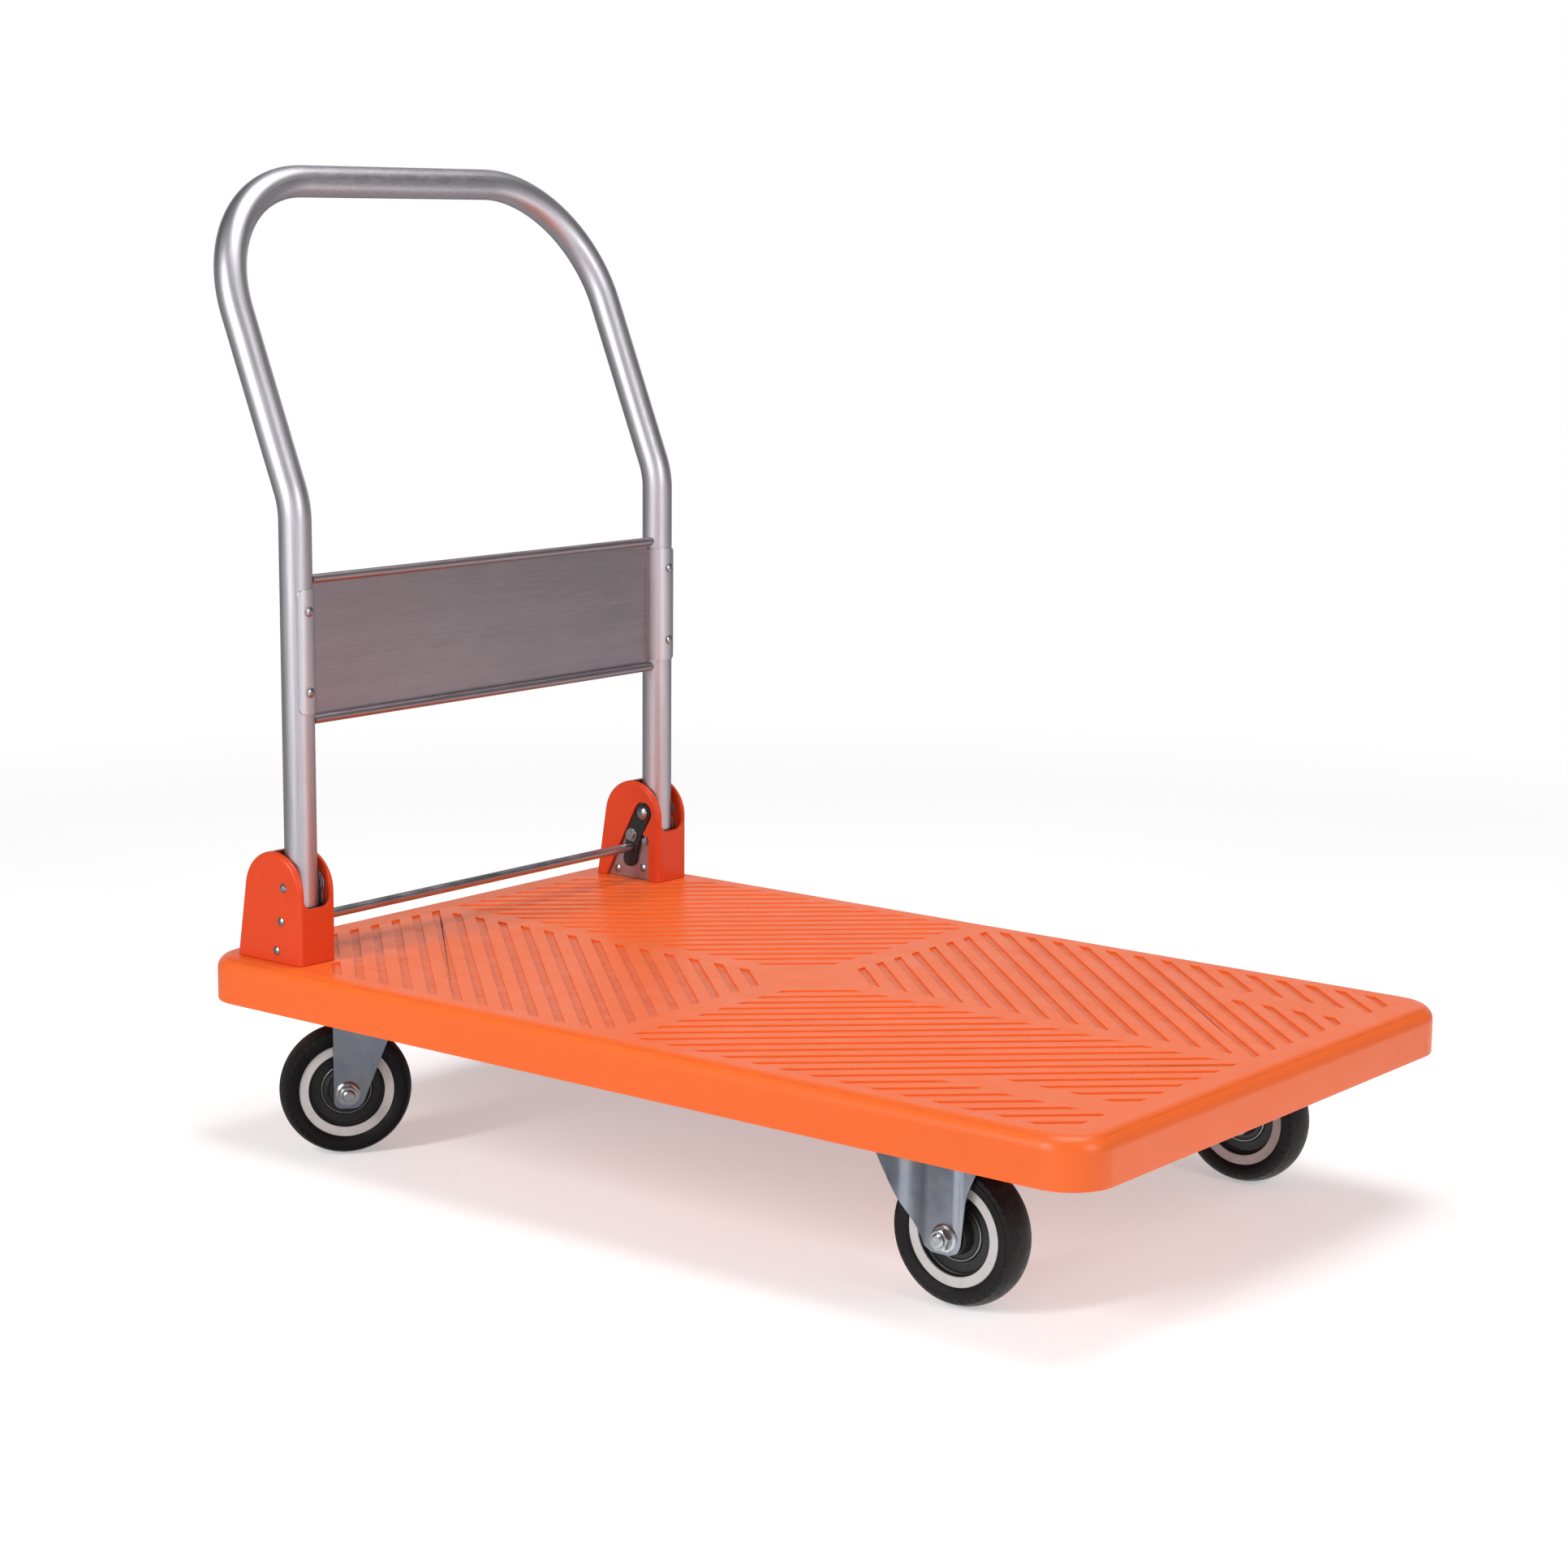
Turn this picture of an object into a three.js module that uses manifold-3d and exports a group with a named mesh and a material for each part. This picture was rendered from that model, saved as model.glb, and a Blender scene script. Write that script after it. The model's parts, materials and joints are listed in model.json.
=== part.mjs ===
// Folding platform cart: a moulded plastic deck on two swivel and two rigid casters, with a tube
// handle that folds forward over the deck on two pin hinges. Millimetres, +X towards the deck's
// front end, +Y to the left of a person who pushes, +Z up. The origin lies on the floor under the
// middle of the whole cart with its handle up.
import * as THREE from 'three';
import { mergeVertices } from 'three/addons/utils/BufferGeometryUtils.js';
import Module from 'manifold-3d';

const wasm = await Module();
wasm.setup();

// ---------------------------------------------------------------- driving dimensions
const gap = 0.3;                       // between pieces that touch
const reach = 60;                      // how far a cutting tool runs past what it cuts

const deck = {
  length: 1050, width: 630, edge: 45, height: 190,      // height: floor to the load surface
  corner: 45, fillet: 10, skirt: 5, top: 5,
  rib: 4, ribDrop: 10,                                  // ribs stop this far above the skirt's edge
  boss: 8,                                              // solid round a caster bolt, from its axis
  cellsLong: 10, cellsWide: 6,
};
const tread = {                                         // slanted grooves of the load surface
  depth: 2, width: 8.5, pitch: 32.5, angle: 42.5 * Math.PI / 180,
  first: 85,                                            // where the innermost groove meets the long axis
  bandAcross: 29, bandAlong: 24,                        // plain cross bands
  borderEnd: 37, borderSide: 28, shortest: 20,
};
const badge = { length: 128, width: 36, inset: 90 };    // plain pads at the two front corners

const handle = {
  diameter: 32, wall: 1.5, spread: 536,                 // spread: upright to upright, on centres
  bendRise: 450, bendRadius: 80, lean: 22.5 * Math.PI / 180,
  topRise: 758, cornerRadius: 136,                      // rises are above the deck
  stub: 20.5,                                           // tube below the pivot
};
const hinge = {
  x: -425, rise: 76, boltRadius: 4,
  washerRadius: 11, washerThickness: 1,
};
const housing = {
  width: 48, wall: 4, front: 23, rear: 69, domeRadius: 40, domeRise: 70, round: 5,
  slotWidth: 36, slotRise: 56, slotCorner: 10, slotBack: 1.5,
};
const cheekWindow = {                                   // opening in a housing's inner cheek
  lobe: 12, notchForward: -0.5, notchDrop: 24.5, ledgeDrop: 27.5, front: 8, rear: 54,
};
const bracket = { foot: 2.5, overlap: 3.5 };            // overlap: plate past the window, all round
const lever = {                                         // places are from the pivot: back and down
  thickness: 4, headRadius: 10.5, kneeRadius: 9.5, toeRadius: 8.5,
  knee: [14, 29], toe: [20, 54], bar: [17, 40], stud: [15.5, 26], swing: 6 * Math.PI / 180,
};
const footBar = { radius: 5 };
const lockStud = { radius: 3, headRadius: 5.2, headHeight: 4, washerRadius: 6.6, washerHeight: 1.2 };
const guideBolt = {
  radius: 3, forward: 3, drop: 31.5, headRadius: 3.6, headHeight: 3.2, washerRadius: 4.8, washerHeight: 1.2,
};
const houseScrew = { radius: 2, headRadius: 3.8, headHeight: 2, places: [[-4, 42], [-11, 12]] };
const plateScrew = { radius: 4, height: 1.8, places: [[-40, 8], [-3, 13]] };

const panel = {
  sheet: 1.5, low: 239, high: 377, hemRadius: 4.5, wingMargin: 8, wingCorner: 7,
  wingPast: 40 * Math.PI / 180,                         // how far a wing reaches past the tube's front
  screwSpacing: 79, screwRadius: 2, screwHead: 5, screwHeight: 2.4,
};

const wheel = {
  radius: 65, width: 36, tyre: 20, rimHalf: 13, hubRadius: 17, hubHalf: 20, webHalf: 5, sleeveWall: 2.5,
  sides: 18,                                            // facets round a tyre and its hub
};
const caster = {
  height: 160,                                          // floor to the mounting face
  plateLength: 105, plateWidth: 84, plateThickness: 3, plateCorner: 10,
  boltRadius: 4, boltHead: 7, boltHeadHeight: 5, boltLong: 80, boltWide: 60,
  sheet: 3, sideGap: 3.5,                               // fork sheet, and hub to fork
  axleRadius: 6, axleHead: 10, axleHeadHeight: 7, nutHeight: 9, nutFlange: 12.5, axleEnd: 3, toeRadius: 15,
};
const swivel = {
  x: -362, y: 226, trail: 34, rest: 51.5 * Math.PI / 180,
  crownHeight: 139, crownRadius: 31, raceRadius: 29, kingpinRadius: 6, kingpinHead: 10,
  legFront: 48, legRear: 14,
};
const rigid = {                                         // leg corners are from the axle: forward and up
  x: 353, y: 237, plateBack: 23,                        // the plate's middle lies behind the axle
  legRear: [[-75, 62], [-60, 37], [-22, -10.5]], toe: [[-13, -15], [5, -15], [12.5, -12]],
  legFront: [[15, -5], [19, 39], [29.5, 62]],
};

// ---------------------------------------------------------------- sizes that follow
const deckTop = deck.height;
const deckLow = deck.height - deck.edge;
const pivotZ = deckTop + hinge.rise;
const tubeRadius = handle.diameter / 2;
const hingeY = handle.spread / 2;
const cavityHalf = housing.width / 2 - housing.wall;    // housing, from its own middle
const plateInner = tubeRadius + gap + hinge.washerThickness + gap;      // bracket plates, both cheeks
const plateOuter = cavityHalf - gap;
const leverInner = plateOuter + gap;
const leverOuter = leverInner + lever.thickness;
const studReach = Math.hypot(...lever.stud);            // pivot to lock stud
const forkInner = wheel.hubHalf + caster.sideGap;
const forkOuter = forkInner + caster.sheet;

const finishes = {
  deckPlastic: { color: 0xf2673c, roughness: 0.38, metalness: 0 },
  housingPlastic: { color: 0xe84b2a, roughness: 0.35, metalness: 0 },
  satinSteel: { color: 0xb4b0b8, roughness: 0.35, metalness: 1 },
  brushedSteel: { color: 0x9d949c, roughness: 0.42, metalness: 1 },
  zincSteel: { color: 0xaab4bd, roughness: 0.38, metalness: 1 },
  brightSteel: { color: 0xc9cdd2, roughness: 0.25, metalness: 1 },
  blackSteel: { color: 0x17161a, roughness: 0.5, metalness: 0.2 },
  tyreRubber: { color: 0x141416, roughness: 0.7, metalness: 0 },
  hubPlastic: { color: 0x1c1c1f, roughness: 0.5, metalness: 0 },
};

// ---------------------------------------------------------------- solid helpers
function enclosedVolume(position, index) {
  const [a, b, c] = [new THREE.Vector3(), new THREE.Vector3(), new THREE.Vector3()];
  let volume = 0;
  for (let i = 0; i < index.length; i += 3) {
    a.fromArray(position, index[i] * 3);
    b.fromArray(position, index[i + 1] * 3);
    c.fromArray(position, index[i + 2] * 3);
    volume += a.dot(b.cross(c)) / 6;
  }
  return volume;
}

// A closed geometry as a solid: shared vertices merged, empty triangles dropped, faces turned out.
function solid(geometry) {
  geometry.deleteAttribute('normal');
  geometry.deleteAttribute('uv');
  const merged = mergeVertices(geometry, 1e-4);
  const source = merged.index.array;
  const index = [];
  for (let i = 0; i < source.length; i += 3) {
    const [a, b, c] = [source[i], source[i + 1], source[i + 2]];
    if (a !== b && b !== c && c !== a) index.push(a, b, c);
  }
  const position = Float32Array.from(merged.attributes.position.array);
  if (enclosedVolume(position, index) < 0) index.reverse();
  const mesh = new wasm.Mesh({ numProp: 3, vertProperties: position, triVerts: Uint32Array.from(index) });
  return new wasm.Manifold(mesh);
}

function joined(solids) {
  return solids.reduce((whole, next) => whole.add(next));
}

function surface(body) {
  const mesh = body.getMesh();
  const geometry = new THREE.BufferGeometry();
  geometry.setAttribute('position', new THREE.BufferAttribute(mesh.vertProperties, 3));
  geometry.setIndex(new THREE.BufferAttribute(mesh.triVerts, 1));
  geometry.computeVertexNormals();
  return geometry;
}

function extruded(shape, depth, curveSegments = 6) {
  return new THREE.ExtrudeGeometry(shape, { depth, bevelEnabled: false, curveSegments });
}

// Prisms of a shape drawn in (x, y), in (x, z) and in (y, z).
function prismZ(shape, low, high, curveSegments) {
  return solid(extruded(shape, high - low, curveSegments).translate(0, 0, low));
}

function prismY(shape, low, high, curveSegments) {
  return solid(extruded(shape, high - low, curveSegments).rotateX(Math.PI / 2).translate(0, high, 0));
}

function prismX(shape, low, high, curveSegments) {
  const geometry = extruded(shape, high - low, curveSegments);
  return solid(geometry.rotateX(Math.PI / 2).rotateZ(Math.PI / 2).translate(low, 0, 0));
}

function box(x0, x1, y0, y1, z0, z1) {
  const geometry = new THREE.BoxGeometry(x1 - x0, y1 - y0, z1 - z0);
  return solid(geometry.translate((x0 + x1) / 2, (y0 + y1) / 2, (z0 + z1) / 2));
}

function rodY(radius, y0, y1, x = 0, z = 0, segments = 12) {
  const geometry = new THREE.CylinderGeometry(radius, radius, y1 - y0, segments);
  return solid(geometry.translate(x, (y0 + y1) / 2, z));
}

function rodZ(radius, z0, z1, x = 0, y = 0, segments = 12) {
  const geometry = new THREE.CylinderGeometry(radius, radius, z1 - z0, segments);
  return solid(geometry.rotateX(Math.PI / 2).translate(x, y, (z0 + z1) / 2));
}

// A turned piece about Y or Z, from [radius, height] pairs.
function turnedY(profile, segments) {
  const points = profile.map(([radius, height]) => new THREE.Vector2(radius, height));
  return solid(new THREE.LatheGeometry(points, segments));
}

function turnedZ(profile, segments) {
  const points = profile.map(([radius, height]) => new THREE.Vector2(radius, height));
  return solid(new THREE.LatheGeometry(points, segments).rotateX(Math.PI / 2));
}

function roundedRectangle(halfX, halfY, radius) {
  const shape = new THREE.Shape();
  shape.absarc(halfX - radius, halfY - radius, radius, 0, Math.PI / 2);
  shape.absarc(radius - halfX, halfY - radius, radius, Math.PI / 2, Math.PI);
  shape.absarc(radius - halfX, radius - halfY, radius, Math.PI, 1.5 * Math.PI);
  shape.absarc(halfX - radius, radius - halfY, radius, 1.5 * Math.PI, 2 * Math.PI);
  return shape;
}

// The outline round two circles: a bar with round ends that may taper.
function roundEndedBar([x0, y0], radius0, [x1, y1], radius1) {
  const angle = Math.atan2(y1 - y0, x1 - x0);
  const spread = Math.acos((radius0 - radius1) / Math.hypot(x1 - x0, y1 - y0));
  const shape = new THREE.Shape();
  shape.absarc(x0, y0, radius0, angle + spread, angle - spread + 2 * Math.PI);
  shape.absarc(x1, y1, radius1, angle - spread, angle + spread);
  return shape;
}

const cart = new THREE.Group();

function addPiece(name, body, finish, parent = cart) {
  const mesh = new THREE.Mesh(surface(body), new THREE.MeshStandardMaterial(finishes[finish]));
  mesh.name = name;
  parent.add(mesh);
  return mesh;
}

// ---------------------------------------------------------------- deck
function deckShell() {
  const { length, width, corner, fillet } = deck;
  const outline = roundedRectangle(length / 2 - fillet, width / 2 - fillet, corner - fillet);
  const geometry = new THREE.ExtrudeGeometry(outline, {
    depth: deck.edge - fillet, bevelSize: fillet, bevelThickness: fillet, bevelSegments: 3, curveSegments: 4,
  });
  const rounded = solid(geometry.translate(0, 0, deckLow));
  return rounded.intersect(box(-length, length, -width, width, deckLow, deckTop));
}

// Cells of an even grid, each one a cutting tool, between z0 and z1.
function gridCells(x0, x1, y0, y1, countX, countY, wall, z0, z1) {
  const cells = [];
  const pitchX = (x1 - x0 + wall) / countX;
  const pitchY = (y1 - y0 + wall) / countY;
  for (let i = 0; i < countX; i += 1) {
    for (let j = 0; j < countY; j += 1) {
      const x = x0 + i * pitchX;
      const y = y0 + j * pitchY;
      cells.push(box(x, x + pitchX - wall, y, y + pitchY - wall, z0, z1));
    }
  }
  return cells;
}

const sides = [{ name: 'left', sign: 1 }, { name: 'right', sign: -1 }];
const casterPlaces = sides.flatMap(({ name, sign }) => [
  { name: `rear_${name}`, x: swivel.x, y: sign * swivel.y },
  { name: `front_${name}`, x: rigid.x - rigid.plateBack, y: sign * rigid.y },
]);

function casterBoltPlaces() {
  const places = [];
  for (const sx of [-1, 1]) {
    for (const sy of [-1, 1]) places.push([sx * caster.boltLong / 2, sy * caster.boltWide / 2]);
  }
  return places;
}

// Caster pad: a block of the plate's size whose corners stay solid round the bolts.
function padBlock(x, y, low, high) {
  const halfLong = caster.plateLength / 2 + deck.rib;
  const halfWide = caster.plateWidth / 2 + deck.rib;
  return box(x - halfLong, x + halfLong, y - halfWide, y + halfWide, low, high);
}

function padCells(x, y, low, high) {
  const innerLong = caster.boltLong / 2 - deck.boss;
  const innerWide = caster.boltWide / 2 - deck.boss;
  const outerWide = caster.plateWidth / 2 - deck.rib;
  const halfRib = deck.rib / 2;
  return sides.flatMap(({ sign }) => {
    const [near, far] = [sign * halfRib, sign * outerWide].sort((p, q) => p - q);
    const [first, last] = [sign * (innerLong + deck.rib), sign * (caster.plateLength / 2)].sort((p, q) => p - q);
    return [
      box(x - innerLong, x + innerLong, y + near, y + far, low, high),
      box(x + first, x + last, y - innerWide, y + innerWide, low, high),
    ];
  });
}

// Hollow underside: open ribbed cells, with closer ribbing where casters and hinges bolt on.
function deckHollow() {
  const halfX = deck.length / 2 - deck.skirt;
  const halfY = deck.width / 2 - deck.skirt;
  const roof = deckTop - deck.top;
  const ribEdge = deckLow + deck.ribDrop;
  const inside = roundedRectangle(halfX, halfY, deck.corner - deck.skirt);
  const cells = gridCells(-halfX, halfX, -halfY, halfY, deck.cellsLong, deck.cellsWide, deck.rib,
    deckLow - reach, roof);
  const open = joined(cells).intersect(prismZ(inside, deckLow - reach, roof, 3))
    .add(prismZ(inside, deckLow - reach, ribEdge, 3));
  const blocks = casterPlaces.map(({ x, y }) => padBlock(x, y, caster.height, roof));
  const under = casterPlaces.map(({ x, y }) => padBlock(x, y, deckLow - reach, caster.height));
  const fine = casterPlaces.flatMap(({ x, y }) => padCells(x, y, caster.height - 1, roof));
  for (const { sign } of sides) {
    const [x0, x1] = [hinge.x - housing.rear, hinge.x + housing.front];
    const [y0, y1] = [sign * hingeY - housing.width / 2, sign * hingeY + housing.width / 2];
    blocks.push(box(x0, x1, y0, y1, ribEdge, roof));
    fine.push(...gridCells(x0 + deck.rib, x1 - deck.rib, y0 + deck.rib, y1 - deck.rib, 3, 1, deck.rib,
      ribEdge - 1, roof));
  }
  return open.subtract(joined(blocks)).add(joined(fine)).add(joined(under));
}

// One quadrant's grooves: parallel slots that lie on nested diamonds about the middle.
function grooveQuadrant(signX, signY) {
  const x1 = deck.length / 2 - tread.borderEnd;
  const y1 = deck.width / 2 - tread.borderSide;
  const x0 = tread.bandAcross / 2;
  const y0 = tread.bandAlong / 2;
  const run = 1 / Math.tan(tread.angle);
  const last = x1 + y1 * run - tread.shortest;
  const strips = [];
  for (let meet = tread.first; meet < last; meet += tread.pitch) {
    const strip = new THREE.BoxGeometry(2 * deck.length, tread.width, 2 * tread.depth);
    strip.rotateZ(-signX * signY * tread.angle).translate(signX * meet, 0, deckTop);
    strips.push(solid(strip));
  }
  const field = box(Math.min(signX * x0, signX * x1), Math.max(signX * x0, signX * x1),
    Math.min(signY * y0, signY * y1), Math.max(signY * y0, signY * y1), deckTop - reach, deckTop + reach);
  return joined(strips).intersect(field);
}

// Places that stay plain: under the hinge housings, and the two pads at the front corners.
function plainPlaces() {
  const places = [];
  const margin = 8;
  const padFront = deck.length / 2 - tread.borderEnd;
  for (const { sign } of sides) {
    const y = sign * hingeY;
    const half = housing.width / 2 + margin;
    places.push(box(-deck.length / 2, hinge.x + housing.front + margin, y - half, y + half,
      deckTop - reach, deckTop + reach));
    const padY = sign * (deck.width / 2 - badge.inset - badge.width / 2);
    places.push(box(padFront - badge.length, padFront + 1, padY - badge.width / 2, padY + badge.width / 2,
      deckTop - reach, deckTop + reach));
  }
  return joined(places);
}

function deckBoltHoles() {
  const holes = casterPlaces.flatMap(({ x, y }) => casterBoltPlaces().map(
    ([dx, dy]) => rodZ(caster.boltRadius + 2 * gap, caster.height - 1, deckTop - deck.top, x + dx, y + dy, 6)));
  return joined(holes);
}

const grooves = joined([[1, 1], [1, -1], [-1, 1], [-1, -1]].map(([sx, sy]) => grooveQuadrant(sx, sy)));
addPiece('deck', deckShell().subtract(deckHollow()).subtract(grooves.subtract(plainPlaces()))
  .subtract(deckBoltHoles()), 'deckPlastic');

// ---------------------------------------------------------------- handle hinges
// Outline of a housing from the side, about the foot of the pivot: upright front, domed top and a
// back that slopes down to the deck; inset moves every wall inwards.
function housingOutline(inset, floor) {
  const centreX = housing.front - housing.domeRadius;
  const radius = housing.domeRadius - inset;
  const rearX = -housing.rear;
  const away = Math.hypot(centreX - rearX, housing.domeRise);
  const bearing = Math.atan2(-housing.domeRise, rearX - centreX);
  const touch = bearing - Math.acos(housing.domeRadius / away);
  const slope = (housing.domeRise + housing.domeRadius * Math.sin(touch))
    / (centreX + housing.domeRadius * Math.cos(touch) - rearX);
  const shape = new THREE.Shape();
  shape.absarc(centreX, housing.domeRise, radius, 0, touch + 2 * Math.PI);
  const endX = centreX + radius * Math.cos(touch);
  const endZ = housing.domeRise + radius * Math.sin(touch);
  shape.lineTo(endX - (endZ - floor) / slope, floor);
  shape.lineTo(housing.front - inset, floor);
  return shape;
}

// Where the slanted rear edge of the cheek window, or of the plate behind it, meets the lobe.
function rearEdgeAngle(lobe, rear) {
  const away = Math.hypot(rear, hinge.rise);
  return Math.atan2(hinge.rise, rear) + Math.asin(lobe / away) + Math.PI / 2;
}

// Opening in the inner cheek: a lobe round the pivot, a notch over the guide bolt and a wide foot.
function windowOutline() {
  const { lobe, notchForward, notchDrop, ledgeDrop, front, rear } = cheekWindow;
  const shape = new THREE.Shape();
  shape.absarc(0, hinge.rise, lobe, -0.2 * Math.PI, rearEdgeAngle(lobe, rear));
  shape.lineTo(-rear, 0);
  shape.lineTo(-rear, -reach);
  shape.lineTo(front, -reach);
  shape.lineTo(front, hinge.rise - ledgeDrop);
  shape.lineTo(notchForward, hinge.rise - notchDrop);
  return shape;
}

// Bracket plate, which backs the whole window.
function plateOutline() {
  const lobe = cheekWindow.lobe + bracket.overlap;
  const rear = cheekWindow.rear + bracket.overlap;
  const front = cheekWindow.front + bracket.overlap;
  const shape = new THREE.Shape();
  shape.absarc(0, hinge.rise, lobe, -0.2 * Math.PI, rearEdgeAngle(lobe, rear));
  shape.lineTo(-rear, gap);
  shape.lineTo(front, gap);
  return shape;
}

function hingeHousing(sign) {
  const half = housing.width / 2;
  const { round } = housing;
  const blank = new THREE.ExtrudeGeometry(housingOutline(round, -2 * round), {
    depth: housing.width - 2 * round, bevelSize: round, bevelThickness: round, bevelSegments: 2, curveSegments: 6,
  });
  const outer = solid(blank.rotateX(Math.PI / 2).translate(0, half - round, 0));
  const shell = outer.intersect(box(-reach * 2, reach * 2, -half, half, gap, reach * 3))
    .subtract(prismY(housingOutline(housing.wall, -reach), -cavityHalf, cavityHalf, 6));
  const slot = new THREE.Shape();
  const halfSlot = housing.slotWidth / 2;
  slot.moveTo(halfSlot, 3 * reach);
  slot.lineTo(-halfSlot, 3 * reach);
  slot.absarc(housing.slotCorner - halfSlot, housing.slotRise + housing.slotCorner, housing.slotCorner,
    Math.PI, 1.5 * Math.PI);
  slot.absarc(halfSlot - housing.slotCorner, housing.slotRise + housing.slotCorner, housing.slotCorner,
    1.5 * Math.PI, 2 * Math.PI);
  const opening = prismY(windowOutline(), cavityHalf - 1, half + 1, 5);
  const outerHoles = [[0, hinge.rise, hinge.boltRadius], ...houseScrew.places.map(
    ([x, z]) => [x, z, houseScrew.radius])];
  let body = shell.subtract(prismX(slot, -tubeRadius - housing.slotBack, reach, 3));
  body = body.subtract(sign > 0 ? opening.mirror([0, 1, 0]) : opening);
  for (const [x, z, radius] of outerHoles) {
    const [y0, y1] = sign > 0 ? [cavityHalf - 1, half + 1] : [-half - 1, 1 - cavityHalf];
    body = body.subtract(rodY(radius + gap, y0, y1, x, z, 8));
  }
  return body;
}

// Pieces of the hinge are drawn with the deck's middle towards +Y, and mirrored for the left side.
function placed(body, sign) {
  return sign > 0 ? body.mirror([0, 1, 0]) : body;
}

// A bent channel in the housing: a plate against each cheek, joined by a foot on the deck.
function hingeBracket(sign) {
  const inner = prismY(plateOutline(), plateInner, plateOuter, 5);
  const outer = prismY(plateOutline(), -plateOuter, -plateInner, 5);
  const foot = box(-cheekWindow.rear - bracket.overlap, cheekWindow.front + bracket.overlap,
    -plateOuter, plateOuter, gap, gap + bracket.foot);
  let body = inner.add(outer).add(foot);
  for (const [x, z] of plateScrew.places) {
    const seat = plateOuter - 0.5;
    const dome = turnedY([[0, seat], [plateScrew.radius, seat], [plateScrew.radius, seat + 1],
      [plateScrew.radius - 1.4, seat + plateScrew.height], [0, seat + plateScrew.height]], 8);
    body = body.add(dome.translate([x, 0, z]));
  }
  const across = (radius, x, z) => rodY(radius + gap, -housing.width, housing.width, x, z, 8);
  body = body.subtract(across(hinge.boltRadius, 0, hinge.rise));
  body = body.subtract(across(guideBolt.radius, guideBolt.forward, hinge.rise - guideBolt.drop));
  for (const [x, z] of houseScrew.places) {
    body = body.subtract(rodY(houseScrew.radius + gap, -housing.width, 0, x, z, 8));
  }
  return placed(body.subtract(studSlot()), sign);
}

// The curved slot that the lock stud follows as the lever swings back.
function studSlot() {
  const [back, drop] = lever.stud;
  const start = Math.atan2(-drop, -back);
  const wide = lockStud.radius + 2 * gap;
  const margin = wide / studReach;
  const shape = new THREE.Shape();
  shape.absarc(0, hinge.rise, studReach + wide, start - lever.swing - margin, start + margin);
  shape.absarc(0, hinge.rise, studReach - wide, start + margin, start - lever.swing - margin, true);
  return prismY(shape, -housing.width, housing.width, 3);
}

function fromPivot([back, drop]) {
  return [-back, hinge.rise - drop];
}

function lockLever(sign) {
  const [knee, toe, stud] = [lever.knee, lever.toe, lever.stud].map(fromPivot);
  const pivot = [0, hinge.rise];
  const { headRadius, kneeRadius, toeRadius } = lever;
  const body = prismY(roundEndedBar(pivot, headRadius, knee, kneeRadius), leverInner, leverOuter, 6)
    .add(prismY(roundEndedBar(knee, kneeRadius, toe, toeRadius), leverInner, leverOuter, 6))
    .subtract(rodY(hinge.boltRadius + gap, leverInner - 1, leverOuter + 1, ...pivot, 10))
    .subtract(rodY(lockStud.radius + gap, leverInner - 1, leverOuter + 1, ...stud, 8));
  return placed(body, sign);
}

// A bolt right through the hinge: domed head on the lever, small domed end on the outer cheek.
function pivotBolt(sign) {
  const head = leverOuter + gap;
  const tail = -housing.width / 2 - gap;
  const { boltRadius } = hinge;
  const bolt = turnedY([[0, tail - 2.4], [3, tail - 1.8], [4.6, tail], [boltRadius, tail], [boltRadius, head],
    [6.4, head], [5.6, head + 2.2], [0, head + 3.6]], 12);
  return placed(bolt, sign).translate([0, 0, hinge.rise]);
}

// A hex head on a washer, with a plain shank from the seat back to an end.
function hexScrew({ radius, washerRadius, washerHeight, headRadius, headHeight }, seat, end) {
  const shank = turnedY([[0, end], [radius, end], [radius, seat], [washerRadius, seat],
    [washerRadius, seat + washerHeight], [0, seat + washerHeight]], 12);
  const low = seat + washerHeight - 0.5;
  const hex = turnedY([[0, low], [headRadius, low], [headRadius, low + headHeight - 0.6],
    [headRadius - 1, low + headHeight], [0, low + headHeight]], 6);
  return shank.add(hex);
}

function lockStudBody(sign) {
  return placed(hexScrew(lockStud, leverOuter + gap, -plateOuter), sign).translate(
    [-lever.stud[0], 0, hinge.rise - lever.stud[1]]);
}

function guideBoltBody(sign) {
  return placed(hexScrew(guideBolt, plateOuter + gap, -plateOuter), sign).translate(
    [guideBolt.forward, 0, hinge.rise - guideBolt.drop]);
}

function houseScrewBody(sign, [x, z]) {
  const seat = -housing.width / 2 - gap;
  const { radius, headRadius, headHeight } = houseScrew;
  const screw = turnedY([[0, seat - headHeight], [headRadius - 1.4, seat - headHeight + 0.4], [headRadius, seat],
    [radius, seat], [radius, -plateInner], [0, -plateInner]], 8);
  return placed(screw, sign).translate([x, 0, z]);
}

function pivotWasher(low) {
  const ring = turnedY([[hinge.boltRadius + gap, low], [hinge.washerRadius, low],
    [hinge.washerRadius, low + hinge.washerThickness], [hinge.boltRadius + gap, low + hinge.washerThickness],
    [hinge.boltRadius + gap, low]], 12);
  return ring.translate([0, 0, hinge.rise]);
}

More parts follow.
